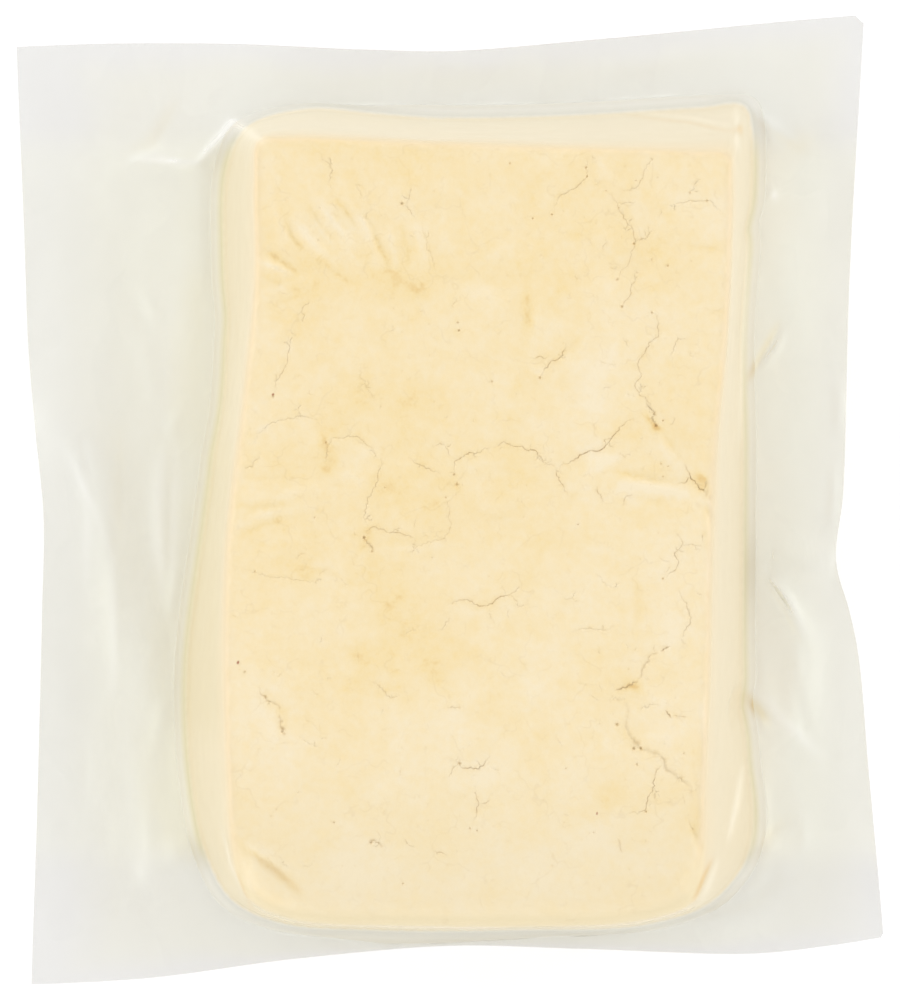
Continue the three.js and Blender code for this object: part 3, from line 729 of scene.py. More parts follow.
def hex_grid(box, spacing, seed):
    """Points of a jittered triangular grid over a box."""
    (low_x, low_y), (high_x, high_y) = box
    rows = np.arange(low_y, high_y, spacing * HEX_ROW)
    draw = np.random.default_rng(seed)
    points = []
    for number, y in enumerate(rows):
        x = np.arange(low_x + (number % 2) * spacing / 2, high_x, spacing)
        points.append(np.column_stack([x, np.full_like(x, y)]))
    points = np.vstack(points)
    return points + draw.uniform(-JITTER, JITTER, points.shape) * spacing


def tree_of(points):
    """A search tree of flat points."""
    tree = KDTree(len(points))
    for number, (x, y) in enumerate(points):
        tree.insert((x, y, 0), number)
    tree.balance()
    return tree


def nearest(tree, points):
    """The number of, and the distance to, the nearest point of the tree for each point."""
    found = [tree.find((x, y, 0))[1:] for x, y in points]
    return np.array([f[0] for f in found]), np.array([f[1] for f in found])


def make_mesh(name, points, faces, values):
    """A smooth object from millimetre points and triangles, with named values at its points."""
    mesh = bpy.data.meshes.new(name)
    mesh.vertices.add(len(points))
    mesh.vertices.foreach_set("co", (np.asarray(points) * MM).ravel())
    mesh.loops.add(faces.size)
    mesh.loops.foreach_set("vertex_index", faces.ravel().astype(np.int32))
    mesh.polygons.add(len(faces))
    mesh.polygons.foreach_set("loop_start", np.arange(0, faces.size, 3, dtype=np.int32))
    mesh.polygons.foreach_set("loop_total", np.full(len(faces), 3, dtype=np.int32))
    mesh.update(calc_edges=True)
    mesh.validate()
    for label, value in values.items():
        mesh.attributes.new(label, "FLOAT", "POINT").data.foreach_set("value", value.astype(np.float32))
    mesh.polygons.foreach_set("use_smooth", np.ones(len(mesh.polygons), bool))
    piece = bpy.data.objects.new(name, mesh)
    bpy.context.collection.objects.link(piece)
    return piece


# ---------------------------------------------------------------- the tofu block

TOFU_INSET = 0.12
FILM_GAP = 0.1
AROUND_BLOCK = 560
FACE_SPACING = 0.56
CRACK_STEP = 0.12

# How much of the width and depth in their table the cracks are built with.
CRACK_WIDTH = 0.43
CRACK_DEPTH = 0.32

# Side spurs, fine ticks and dots: sizes and depths in mm, the spurs' width and darkness as shares of
# their crack's, turns in radians, and the area of the dots in pixels.
SPUR_EVERY = 3.2
SPUR_TURN = 0.9
SPUR_LENGTH = (0.5, 1.6)
SPUR_WIDTH = 0.75
SPUR_DEPTH = 0.1
SPUR_DARKNESS = 0.5
TICKS = 110
TICK_AREA = ((-36, -66), (42, 55))
TICK_SCATTER = 2.6
TICK_LENGTH = (0.5, 2.4)
TICK_WIDTH = 0.05
TICK_DEPTH = 0.06
TICK_DARKNESS = (0.1, 0.36)
JAG_LEGS = 4
JAG_TURN = 0.5
DOTS = 70
DOT_AREA = ((238, 160), (706, 905))
DOT_RADIUS = (0.1, 0.2)
DOT_DEPTH = 0.1
DOT_DARKNESS = (0.2, 0.6)

# Rings of the block's skin, and how its toe and base lie: levels and gaps in mm, the places of rings as
# shares of a turn, and the share of the base's outline that holds inner points.
BEND_RINGS = 15
WALL_RINGS = 26
BASE_LEVEL = 0.12
BASE_STEP = 0.1
BASE_OUT = 0.3
BASE_SPACING = 3.0
TOE_RINGS = 7
TOE_DROP = 0.02
TOE_LAST_SHARES = (0.98, 1.0)
BASE_SHARES = (0.01, 0.25, 0.5, 0.75, 1.0)
BASE_FILL = 0.96

# How a crack runs: the share of it that fades at each end, its wander as lengths and reaches in mm, and
# for its changes in width and in darkness a length in mm with the least and the most.
ROUTE_SAMPLES = 400
FADE_SHARE = 0.3
FADE_POWER = 0.6
CRACK_WANDER = ((1.2, 0.24), (0.45, 0.19))
WANDER_FULL = 3
WIDTH_CHANGES = (0.9, 0.7, 1.25)
SHADE_CHANGES = (0.5, 0.1, 1.5)

# Where the fine points of the face stand: beside a crack in half widths of it, the gaps between points
# in mm, and the rings round a small mark, each with its share of the radius and its number of points.
CRACK_REACHES = (1.0, 2.2)
MARK_GAP = 0.09
SPREAD_GAP = 0.24
EDGE_GAP = 0.16
CLUSTER_RINGS = ((0.35, 6), (0.7, 9), (1.0, 12), (1.4, 12))

# The section of cracks and pits, and their shade and halo: cracks in half widths, shoulder and halo in
# mm, pits in shares of their radius.
GROOVE_REACH = 1.25
GROOVE_POWER = 0.8
SHOULDER_REACH = 0.9
SHOULDER_SHARE = 0.12
SHOULDER_DEPTH = 0.6
SHADE_START = 1.25
SHADE_REACH = 1.35
SHADE_POWER = 1.2
HALO_REACH = 0.55
PIT_WIDTH = 0.75
PIT_DEPTH = 0.6
PIT_STEEPNESS = 1.6
PIT_SHADE_STEEPNESS = 2.2
SPECK_EDGE = 1.6

# Where one part of the pack gives way to the next, in mm: below the face, above the table, from the edge
# and from the middle of the pack.
UPPER_DROP = 0.9
WALL_DROP = 3.2
FOOT_TOP = 3.0
WALL_CLEAR = 10.0
RIM_REACH = 0.9
ENDS_START = 56
ENDS_FULL = 63

# Where the colour of the walls takes over from that of the face: how far down the rounding of the edge, as
# shares of it, and what the lower edge adds.
SIDE_START = 0.12
SIDE_START_LOW = 0.5
SIDE_SPAN = 0.32
SIDE_SPAN_LOW = 0.4

# Zones of the block's colour: where each starts and where it is full, in mm, and how much paler the tint
# gets toward the foot of the frame.
TINT_ZONE = (20, -60)
TINT_FALL = 0.2
LEFT_ZONE = (0, -30)
LEFT_MIDDLE_TOP = (14, 2)
LEFT_MIDDLE_FOOT = (-42, -34)
# The low zone is painted shade on the rounded lower edge of the face.
LOW_EDGE_SHADE_ZONE = (-52, -66)
LOW_EDGE_SHADE_DROP = (0.2, 2.0)
# The bottom zone is painted shade on the face and painted light on the whey.
BOTTOM_PAINT_ZONE = (-36, -64)

# Waves: height and length in mm, seed, and stretch along both directions.
PLAIN = (1.0, 1.0)
FACE_WAVES = ((0.05, 9, 21, PLAIN), (0.025, 3.5, 22, PLAIN), (0.012, 1.6, 23, PLAIN))
WALL_BROAD_WAVES = ((0.05, 24, 41, PLAIN),)
WALL_FINE_WAVES = ((0.03, 9, 42, (1.0, 2.5)), (0.012, 3.6, 43, (1.0, 4.0)))


def uneven(draw, run, wavelength, low, high):
    """Values between low and high that change at random along a run."""
    count = int(run[-1] / wavelength) + 3
    knots = np.linspace(0, run[-1], count)
    return np.interp(run, knots, draw.uniform(low, high, count))


def crack_line(draw, points, half_width, depth, darkness):
    """Samples of one crack: place, direction across, half width, depth and darkness."""
    run = np.concatenate([[0], np.cumsum(np.linalg.norm(np.diff(points, axis=0), axis=1))])
    place = np.linspace(0, run[-1], max(4, int(run[-1] / CRACK_STEP)))
    line = np.column_stack([np.interp(place, run, points[:, 0]), np.interp(place, run, points[:, 1])])
    along = np.gradient(line, axis=0)
    along /= np.linalg.norm(along, axis=1)[:, None] + TINY
    across = np.column_stack([-along[:, 1], along[:, 0]])
    fade = np.clip(np.minimum(place, run[-1] - place) / (FADE_SHARE * run[-1]), 0, 1) ** FADE_POWER
    wander = sum(uneven(draw, place, length, -reach, reach) for length, reach in CRACK_WANDER)
    line = line + across * (wander * np.minimum(1, run[-1] / WANDER_FULL))[:, None]
    width = uneven(draw, place, *WIDTH_CHANGES) * (0.5 + 0.5 * fade)
    shade = uneven(draw, place, *SHADE_CHANGES) * (0.3 + 0.7 * fade)
    return np.column_stack([line, across, half_width * width, depth * fade * width, darkness * shade])


def crack_samples():
    """Samples along every crack, its side spurs, and the fine ticks scattered over the face."""
    draw = np.random.default_rng(11)
    rows = []
    starts = []
    for route, half_width, depth, darkness in CRACKS.values():
        knots = on_face(route)
        points = catmull_rom(knots, np.linspace(0, len(knots) - 1, ROUTE_SAMPLES), closed=False)
        size = CRACK_WIDTH * half_width
        rows.append(crack_line(draw, points, size, CRACK_DEPTH * depth, darkness))
        for _ in range(int(len(rows[-1]) * CRACK_STEP / SPUR_EVERY)):
            row = rows[-1][draw.integers(len(rows[-1]))]
            turn = (math.atan2(row[3], row[2]) + draw.uniform(-SPUR_TURN, SPUR_TURN)
                    + math.pi * draw.integers(2))
            spur = jagged(draw, row[:2], turn, draw.uniform(*SPUR_LENGTH))
            rows.append(crack_line(draw, spur, SPUR_WIDTH * size, SPUR_DEPTH, SPUR_DARKNESS * darkness))
            starts.append(row[:2])
    for number in range(TICKS):
        if number % 2:
            middle = starts[draw.integers(len(starts))] + draw.normal(0, TICK_SCATTER, 2)
        else:
            middle = draw.uniform(*TICK_AREA)
        points = jagged(draw, middle, draw.uniform(0, 2 * math.pi), draw.uniform(*TICK_LENGTH))
        rows.append(crack_line(draw, points, TICK_WIDTH, TICK_DEPTH, draw.uniform(*TICK_DARKNESS)))
    return np.vstack(rows)


def jagged(draw, start, turn, length):
    """A short broken line."""
    points = [np.array(start)]
    for _ in range(JAG_LEGS):
        turn += draw.normal(0, JAG_TURN)
        points.append(points[-1] + length / JAG_LEGS * np.array([math.cos(turn), math.sin(turn)]))
    return np.array(points)


def scattered_pits():
    """Fine dots over the face, in the form of the table of pits."""
    draw = np.random.default_rng(12)
    rows = []
    for _ in range(DOTS):
        place = draw.uniform(*DOT_AREA)
        rows.append((place, draw.uniform(*DOT_RADIUS), DOT_DEPTH, draw.uniform(*DOT_DARKNESS)))
    return rows


def mark_points(cracks, boundary):
    """Points of the face: fine ones that follow the marks, and an even spread between them."""
    line, across, half_width = cracks[:, :2], cracks[:, 2:4], cracks[:, 4:5]
    groups = [line]
    for side in (-1, 1):
        for reach in CRACK_REACHES:
            groups.append(line + side * reach * across * half_width)
    for place, radius, *_ in PITS + scattered_pits():
        groups.append(round_cluster(on_face(place), radius))
    for place, long, _short, _turn in BROWN_SPECKS:
        groups.append(round_cluster(on_face(place), long))
    marks = thin_out(np.vstack(groups), MARK_GAP)
    spread = hex_grid(box_of(boundary), FACE_SPACING, seed=5)
    spread = spread[nearest(tree_of(marks), spread)[1] > SPREAD_GAP]
    points = np.vstack([marks, spread])
    points = points[inside_outline(points, boundary)]
    return points[nearest(tree_of(boundary), points)[1] > EDGE_GAP]


def round_cluster(centre, radius):
    """A few rings of points round a small mark."""
    points = [centre]
    for ring, number in CLUSTER_RINGS:
        turn = np.arange(number) * 2 * math.pi / number + ring
        points.append(centre + ring * np.column_stack([radius * np.cos(turn), radius * np.sin(turn)]))
    return np.vstack(points)


def thin_out(points, gap):
    """The first of the points in each square cell with sides of the gap's length."""
    taken = set()
    kept = []
    for number, (x, y) in enumerate(points):
        cell = (int(x // gap), int(y // gap))
        if cell not in taken:
            taken.add(cell)
            kept.append(number)
    return points[kept]


def marks_at(x, y, cracks):
    """Depth and darkness of the cracks and pits at points of the face."""
    number, away = nearest(tree_of(cracks[:, :2]), np.column_stack([x, y]))
    half_width, depth, dark = cracks[number, 4], cracks[number, 5], cracks[number, 6]
    groove = np.clip(1 - away / (GROOVE_REACH * half_width), 0, 1)
    shoulder = np.exp(-((away / SHOULDER_REACH) ** 2))
    drop = depth * groove**GROOVE_POWER + SHOULDER_SHARE * np.minimum(depth, SHOULDER_DEPTH) * shoulder
    shade = dark * np.clip(SHADE_START - away / (SHADE_REACH * half_width), 0, 1) ** SHADE_POWER
    halo = dark * np.exp(-((away / HALO_REACH) ** 2))
    for place, radius, pit_depth, pit_dark in PITS + scattered_pits():
        at = on_face(place)
        share = np.hypot(x - at[0], y - at[1]) / (PIT_WIDTH * radius)
        drop += PIT_DEPTH * pit_depth * np.exp(-(share**2) * PIT_STEEPNESS)
        shade = np.maximum(shade, pit_dark * np.exp(-(share**2) * PIT_SHADE_STEEPNESS))
        halo = np.maximum(halo, pit_dark * np.exp(-((share / 2) ** 2)))
    return drop, np.clip(shade, 0, 1), np.clip(halo, 0, 1)


def speck_at(x, y):
    """How much of the brown specks lies at points of the face."""
    total = np.zeros_like(x)
    for place, long, short, turn in BROWN_SPECKS:
        at = on_face(place)
        angle = math.radians(turn)
        along = (x - at[0]) * math.cos(angle) + (y - at[1]) * math.sin(angle)
        aside = -(x - at[0]) * math.sin(angle) + (y - at[1]) * math.cos(angle)
        away = np.hypot(along / long, aside / short)
        total = np.maximum(total, np.clip(SPECK_EDGE - SPECK_EDGE * away, 0, 1))
    return total


def face_relief(x, y):
    """The fine unevenness that the film and the curd share."""
    return waves_sum(FACE_WAVES, x, y, start=folds_rise(placed(FACE_RIDGES, on_face), x, y))


def curd_relief(x, y):
    """The grain of the pressed curd under the film."""
    return 0.012 * waves(x, y, 1.1, 31) * (0.6 + 0.4 * waves(x, y, 14, 32))


def wall_relief(x, y, z):
    """The fine waves of the walls, outward, that the film and the curd share."""
    return waves_sum(WALL_FINE_WAVES, y - x, z, start=waves_sum(WALL_BROAD_WAVES, y + x, z))


def tents_push(x, y):
    """How far creases of the film stand off the walls, or cut into them."""
    return folds_rise(placed(WALL_TENTS, on_face), x, y)


def wall_rows(lines, inset, bend_rings, wall_rings, wall_end):
    """Rings from the face round its edge and down the walls, to wall_end above or at the foot."""
    edge = lines["edge"].copy()
    low = lines["low"].copy()
    for line in (edge, low):
        line[:, :2] -= inset * unit(line[:, :2])
    inner = lines["inner"].copy()
    down = unit(low - edge)
    shoulder = edge + down * lines["round"]
    rows = [bend(inner, edge, shoulder, share) for share in np.linspace(0, 1, bend_rings)]
    end = low - down * wall_end
    rows += [shoulder + (end - shoulder) * share for share in np.linspace(0, 1, wall_rings)[1:]]
    return rows


def tofu_rings(lines):
    """Rings of the block from its face down the walls, out to the toe and in under the base."""
    rows = wall_rows(lines, TOFU_INSET, BEND_RINGS, WALL_RINGS, wall_end=FOOT_FILLET)
    foot = lines["low"] - TOFU_INSET * lines["out"]
    toe = lines["low"] + FOOT_FILLET * lines["out"]
    toe[:, 2] = margin_height(toe[:, 0], toe[:, 1]) - TOE_DROP
    base = lines["low"] - (BASE_INSET - BASE_OUT) * lines["out"]
    base[:, 2] = BASE_LEVEL
    corner = foot.copy()
    corner[:, 2] = BASE_LEVEL + BASE_STEP
    toe_shares = (*np.linspace(0, 1, TOE_RINGS)[1:-1], *TOE_LAST_SHARES)
    rows += [bend(rows[-1], foot, toe, share) for share in toe_shares]
    return rows + [bend(toe, corner, base, share) for share in BASE_SHARES]


def build_tofu():
    """The block: its skin of rings, its marked face and its plain base."""
    places = around(AROUND_BLOCK)
    rows = tofu_rings(sections(places))
    skin = np.vstack(rows)
    cracks = crack_samples()
    face_outline, base_outline = rows[0][:, :2], rows[-1][:, :2]
    inside = mark_points(cracks, face_outline)
    face_faces = fill(face_outline, inside)
    base_inside = hex_grid(box_of(base_outline), BASE_SPACING, seed=6)
    base_inside = base_inside[inside_outline(base_inside, base_outline * BASE_FILL)]
    base_faces = fill(base_outline, base_inside)

    base_points = lift(base_inside, lambda x, y: 0 * x + BASE_LEVEL)
    points = np.vstack([skin, lift(inside, face_height), base_points])
    last_ring = (len(rows) - 1) * AROUND_BLOCK
    face_faces = renumber(face_faces, AROUND_BLOCK, 0, len(skin))
    base_faces = renumber(base_faces, AROUND_BLOCK, last_ring, len(skin) + len(inside))
    faces = np.vstack([face_faces, ring_faces(AROUND_BLOCK, len(rows)), base_faces[:, ::-1]])

    x, y, z = points.T.copy()
    drop, shade, halo = marks_at(x, y, cracks)
    upper = upper_share(x, y, z)
    points[:, 2] += upper * (face_relief(x, y) + curd_relief(x, y) - FILM_GAP - drop)
    push = wall_relief(x, y, z) + np.minimum(tents_push(x, y), 0) - FILM_GAP
    push_walls(points, 1 - upper, push, z)
    return make_mesh("tofu_block", points, faces, tofu_values(x, y, z, upper, shade, halo, places))


def tofu_values(x, y, z, upper, shade, halo, places):
    """What the curd's colour and roughness go by at each point."""
    return {
        "crack": shade * upper,
        "halo": halo * upper,
        "speck": speck_at(x, y) * upper,
        "tint": (soft_spots(TINT_PATCHES, x, y) - TINT_FALL * smooth(*TINT_ZONE, y)) * upper,
        # Painted highlight on the ridges of the face's ripples, painted shade in their valleys.
        "ripple_painted_light": folds_rise(placed(FACE_RIDGES, on_face), x, y) * upper,
        # Painted shade along the rounded edge of the face.
        "rim": edge_closeness(x, y, places) * upper,
        "wall": 1 - upper,
        "depth": np.clip((face_height(x, y) - z) / BLOCK_HEIGHT, 0, 1),
        "side": side_of_edge(x, y, z),
        "toe": distance_from_foot(x, y),
        "left": (smooth(*LEFT_ZONE, x)
                 * (0.5 + 0.5 * smooth(*LEFT_MIDDLE_TOP, y) * smooth(*LEFT_MIDDLE_FOOT, y))),
        "ends": ends_of_pack(y),
        "top": smooth(ENDS_START, ENDS_FULL, y),
        # Painted shade on the rounded lower edge of the face.
        "low": smooth(*LOW_EDGE_SHADE_ZONE, y) * smooth(*LOW_EDGE_SHADE_DROP, face_height(x, y) - z),
        # Painted shade on the face and painted light on the whey toward the bottom of the pack.
        "bottom_painted_light_and_shade": smooth(*BOTTOM_PAINT_ZONE, y),
        # Painted highlight on creases, and whey with painted shade in them.
        "crease_light_shade_and_whey": creases_at(x, y, z),
    }


def upper_share(x, y, z):
    """Full on the face, and nothing on the walls."""
    return 1 - smooth(UPPER_DROP, WALL_DROP, face_height(x, y) - z)


def push_walls(points, steep, push, z):
    """Move the points of the walls out from the middle of the pack."""
    spread = unit(points[:, :2] + TINY)
    points[:, :2] += (steep * push * wall_fade(z))[:, None] * spread


def side_of_edge(x, y, z):
    """Nothing on the face, and full just past the rounding of its edge."""
    crisp = smooth(LOWER_EDGE_FULL, LOWER_EDGE_STARTS, y)
    round_size = LOWER_EDGE_ROUND + (EDGE_ROUND - LOWER_EDGE_ROUND) * crisp
    low = 1 - crisp
    past = (face_height(x, y) - z) / round_size - SIDE_START - SIDE_START_LOW * low
    return np.clip(past / (SIDE_SPAN + SIDE_SPAN_LOW * low), 0, 1)


def wall_fade(z):
    """Full on the walls, and nothing at their foot."""
    return smooth(FOOT_TOP, WALL_CLEAR, z)


def edge_closeness(x, y, places):
    """How near points of the face are to its edge, from 0 inside to 1 at the edge."""
    side, share = split_places(places)
    edge = rounded_outline(FACE_OUTLINE, side, share)
    away = nearest(tree_of(edge), np.column_stack([x, y]))[1]
    return np.exp(-((away / RIM_REACH) ** 2))


# ---------------------------------------------------------------- the pouch

AROUND_FILM = 700
FILM_BEND_RINGS = 13
FILM_WALL_RINGS = 18
FILM_FILLET_RINGS = 7
MARGIN_SHARES = np.concatenate([[0.0, 0.002], np.linspace(0, 1, 50)[1:]])
MARGIN_RINGS = len(MARGIN_SHARES)
FILM_FACE_SPACING = 0.62
WEB_GAP = 0.06
WEB_BASE_OUT = 0.2
WEB_TURN_RINGS = 7
WEB_LAST_SHARE = 0.99
BACK_FILL = 0.985
FILM_WALL_DROP = (0.05, 1.0)
RIGHT_ZONE = (-20, 20)
BACK_SPACING = 2.4
FILM_EDGE_GAP = 0.3
MARGIN_STARTS = 0.06
MARGIN_WAVES = ((0.13, 26, 51, (0.8, 1.5)), (0.045, 9, 52, (0.8, 1.4)), (0.01, 3.6, 53, PLAIN))

# Finer folds of the margin: run in pixels, half width in mm, rise in mm.
MARGIN_RIDGES = [
    ([(128, 168), (140, 157), (160, 154), (175, 161), (198, 163), (206, 156), (218, 140), (231, 123)],
     0.65, 0.5),
    ([(128, 158), (145, 146), (158, 140), (166, 120), (176, 104)], 0.9, -0.3),
    ([(231, 123), (246, 131), (262, 141)], 0.7, 0.3),
    ([(238, 122), (252, 114), (268, 110)], 0.6, 0.3),
    ([(100, 160), (104, 170), (98, 182), (94, 195)], 0.8, -0.25),
    ([(104, 288), (120, 290), (134, 300), (146, 318), (155, 340)], 1.2, -0.35),
    ([(142, 290), (152, 308), (158, 330)], 1.2, 0.25),
    ([(140, 345), (150, 370), (156, 400)], 1.3, 0.3),
    ([(84, 440), (88, 460), (92, 482)], 0.6, -0.3),
    ([(78, 452), (84, 474), (88, 500)], 1.0, 0.3),
    ([(112, 515), (117, 535), (120, 556)], 0.6, -0.3),
    ([(108, 540), (112, 570), (114, 620), (114, 670)], 1.3, 0.35),
    ([(163, 455), (159, 490), (160, 520), (162, 560)], 1.4, 0.5),
    ([(176, 440), (172, 425), (180, 410)], 1.0, 0.35),
    ([(176, 570), (172, 600), (176, 622)], 1.1, 0.4),
    ([(170, 622), (174, 650), (178, 690)], 0.9, -0.5),
    ([(164, 700), (158, 730), (152, 752)], 1.2, 0.45),
    ([(148, 640), (154, 652), (144, 664)], 0.8, 0.25),
    ([(85, 740), (86, 770), (84, 798)], 0.7, -0.2),
    ([(104, 812), (108, 830), (104, 850)], 1.4, -0.3),
    ([(148, 800), (148, 830), (152, 860)], 1.1, 0.3),
    ([(128, 850), (132, 875), (130, 900)], 1.3, -0.12),
    ([(146, 850), (148, 880), (160, 900)], 1.2, 0.12),
    ([(118, 885), (120, 905), (122, 925)], 0.8, -0.25),
    ([(172, 840), (176, 855), (172, 865)], 1.0, 0.3),
    ([(700, 100), (716, 97), (745, 100)], 0.7, 0.3),
    ([(752, 118), (764, 130), (780, 148), (790, 158)], 1.2, 0.4),
    ([(790, 138), (800, 145), (810, 148)], 1.2, -0.3),
    ([(748, 205), (764, 196), (782, 184)], 0.8, 0.3),
    ([(780, 326), (772, 342), (760, 358), (748, 376), (744, 400)], 0.7, -0.5),
    ([(784, 332), (776, 350), (764, 366)], 0.7, 0.45),
    ([(838, 380), (840, 400), (838, 430)], 1.0, 0.4),
    ([(834, 465), (833, 500), (830, 528)], 0.9, 0.4),
    ([(764, 578), (776, 594), (788, 612), (800, 636)], 0.7, -0.5),
    ([(776, 582), (788, 598), (798, 616)], 0.8, 0.5),
    ([(800, 640), (806, 660), (804, 680)], 0.9, -0.25),
    ([(745, 700), (752, 712), (764, 726), (784, 738)], 0.8, 0.5),
    ([(762, 676), (770, 700), (784, 720), (806, 744)], 1.2, 0.45),
    ([(796, 680), (800, 705), (806, 730)], 1.1, -0.4),
    ([(820, 750), (832, 756), (842, 758)], 1.0, -0.25),
    ([(742, 845), (758, 838), (780, 826), (790, 820)], 0.9, -0.4),
    ([(748, 856), (762, 850), (776, 846)], 1.0, 0.35),
    ([(732, 905), (752, 898), (770, 880), (774, 856)], 1.1, -0.45),
    ([(742, 876), (752, 868), (758, 858)], 0.9, 0.4),
    ([(778, 884), (792, 884), (806, 880)], 1.2, 0.35),
    ([(802, 820), (804, 836), (803, 850)], 0.9, 0.3),
    ([(690, 918), (712, 908), (736, 900)], 1.0, -0.3),
    ([(205, 850), (216, 866), (226, 888)], 0.8, -0.3),
    ([(420, 60), (470, 66), (520, 64)], 2.0, 0.3),
    ([(600, 70), (650, 62), (700, 60)], 2.0, 0.3),
]

# Ridges of the film on the walls near a corner: run in pixels, half width in mm, outward push in mm.
WALL_TENTS = [
    ([(739, 780), (734, 808), (729, 836)], 0.8, 0.6),
    ([(216, 828), (221, 850), (226, 872)], 0.6, -0.4),
    ([(226, 834), (231, 850), (238, 874)], 0.7, 0.2),
    ([(744, 690), (737, 712), (736, 730)], 0.8, -0.6),
    ([(688, 106), (706, 114), (728, 122)], 0.7, 0.15),
    ([(690, 114), (712, 122), (730, 128)], 0.6, -0.15),
]


def margin_relief(x, y):
    """The fine waves that both webs of the margin share."""
    return waves_sum(MARGIN_WAVES, x, y, start=folds_rise(placed(MARGIN_RIDGES, on_margin), x, y))


def film_margin_rows(lines, start, side):
    """Rings of a web from the toe of the fillet out to the cut edge."""
    rows = []
    for share in MARGIN_SHARES:
        row = start + (lines["rim"] - start) * share
        row[:, 2] = margin_height(row[:, 0], row[:, 1]) + side * WEB_GAP
        rows.append(row)
    return rows


def margin_shares(rings, inside):
    """How far out on the margin each point lies, for rings that end with those of the margin."""
    shares = np.concatenate([np.zeros(rings - MARGIN_RINGS), MARGIN_SHARES])
    return np.concatenate([np.repeat(shares, AROUND_FILM), np.zeros(inside)])


def build_film_top():
    """The front web: over the face, down the walls and out over the margin."""
    lines = sections(around(AROUND_FILM))
    rows = wall_rows(lines, 0.0, FILM_BEND_RINGS, FILM_WALL_RINGS, wall_end=FOOT_FILLET)
    heel = rows[-1]
    toe = lines["low"] + lines["out"] * FOOT_FILLET
    toe[:, 2] = margin_height(toe[:, 0], toe[:, 1]) + WEB_GAP
    rows += [bend(heel, lines["low"], toe, share) for share in np.linspace(0, 1, FILM_FILLET_RINGS)[1:-1]]
    rows += film_margin_rows(lines, toe, 1)
    boundary = rows[0][:, :2]
    inside = hex_grid(box_of(boundary), FILM_FACE_SPACING, seed=7)
    inside = inside[inside_outline(inside, boundary)]
    inside = inside[nearest(tree_of(boundary), inside)[1] > FILM_EDGE_GAP]
    points, faces = web_mesh(rows, inside, face_height)

    margin = margin_shares(len(rows), len(inside))
    x, y, z = points.T.copy()
    upper = upper_share(x, y, z)
    flat = smooth(0.0, MARGIN_STARTS, margin)
    points[:, 2] += upper * face_relief(x, y) + flat * margin_relief(x, y)
    push_walls(points, (1 - upper) * (1 - flat), wall_relief(x, y, z) + tents_push(x, y), z)
    keep_clear(points)
    values = film_values(x, y, z, margin, smooth(*FILM_WALL_DROP, face_height(x, y) - z) * (1 - flat))
    return make_mesh("pouch_front", points, faces, values)


def build_film_back():
    """The back web: flat under the block, up round its foot and out under the margin."""
    lines = sections(around(AROUND_FILM))
    toe = lines["low"] + lines["out"] * FOOT_FILLET
    margin_rows = film_margin_rows(lines, toe, -1)
    base = lines["low"] - lines["out"] * (BASE_INSET - WEB_BASE_OUT)
    base[:, 2] = 0.0
    corner = lines["low"].copy()
    corner[:, 2] = 0.0
    shares = (*np.linspace(0, 1, WEB_TURN_RINGS)[:-1], WEB_LAST_SHARE)
    rows = [bend(base, corner, margin_rows[0], share) for share in shares] + margin_rows
    boundary = rows[0][:, :2]
    inside = hex_grid(box_of(boundary), BACK_SPACING, seed=8)
    inside = inside[inside_outline(inside, boundary * BACK_FILL)]
    points, faces = web_mesh(rows, inside, lambda x, y: 0 * x)
    faces = faces[:, ::-1]
    margin = margin_shares(len(rows), len(inside))
    x, y, z = points.T.copy()
    points[:, 2] += smooth(0.0, MARGIN_STARTS, margin) * margin_relief(x, y)
    keep_clear(points)
    values = film_values(x, y, z, margin, np.zeros(len(points)))
    return make_mesh("pouch_back", points, faces, values)


def web_mesh(rows, inside, height):
    """Points and triangles of a web: its rings, and the filled area inside the first of them."""
    skin = np.vstack(rows)
    filled = renumber(fill(rows[0][:, :2], inside), AROUND_FILM, 0, len(skin))
    return np.vstack([skin, lift(inside, height)]), np.vstack([filled, ring_faces(AROUND_FILM, len(rows))])


def film_values(x, y, z, margin, wall):
    """What the film's colour and gloss go by at each point."""
    # The crease value carries painted highlight, and whey with painted shade.
    return {"wall": wall, "margin": margin, "away": distance_from_foot(x, y), "right": smooth(*RIGHT_ZONE, x),
            "ends": ends_of_pack(y), "crease_light_shade_and_whey": creases_at(x, y, z)}


def ends_of_pack(y):
    """Full above and below the block, and nothing beside it."""
    return smooth(ENDS_START, ENDS_FULL, np.abs(y))


def keep_clear(points):
    """Keep every point on or above the surface that the pack lies on."""
    points[:, 2] = np.maximum(points[:, 2], 0.0)


def distance_from_foot(x, y):
    """How far outside the foot of the walls points lie."""
    side, share = split_places(around(FOOT_SAMPLES))
    foot = foot_outline(side, share)
    away = nearest(tree_of(foot), np.column_stack([x, y]))[1]
    outside = ~inside_outline(np.column_stack([x, y]), foot)
    return away * outside


# ---------------------------------------------------------------- materials

NOISE_LOW = 0.3
NOISE_HIGH = 0.7


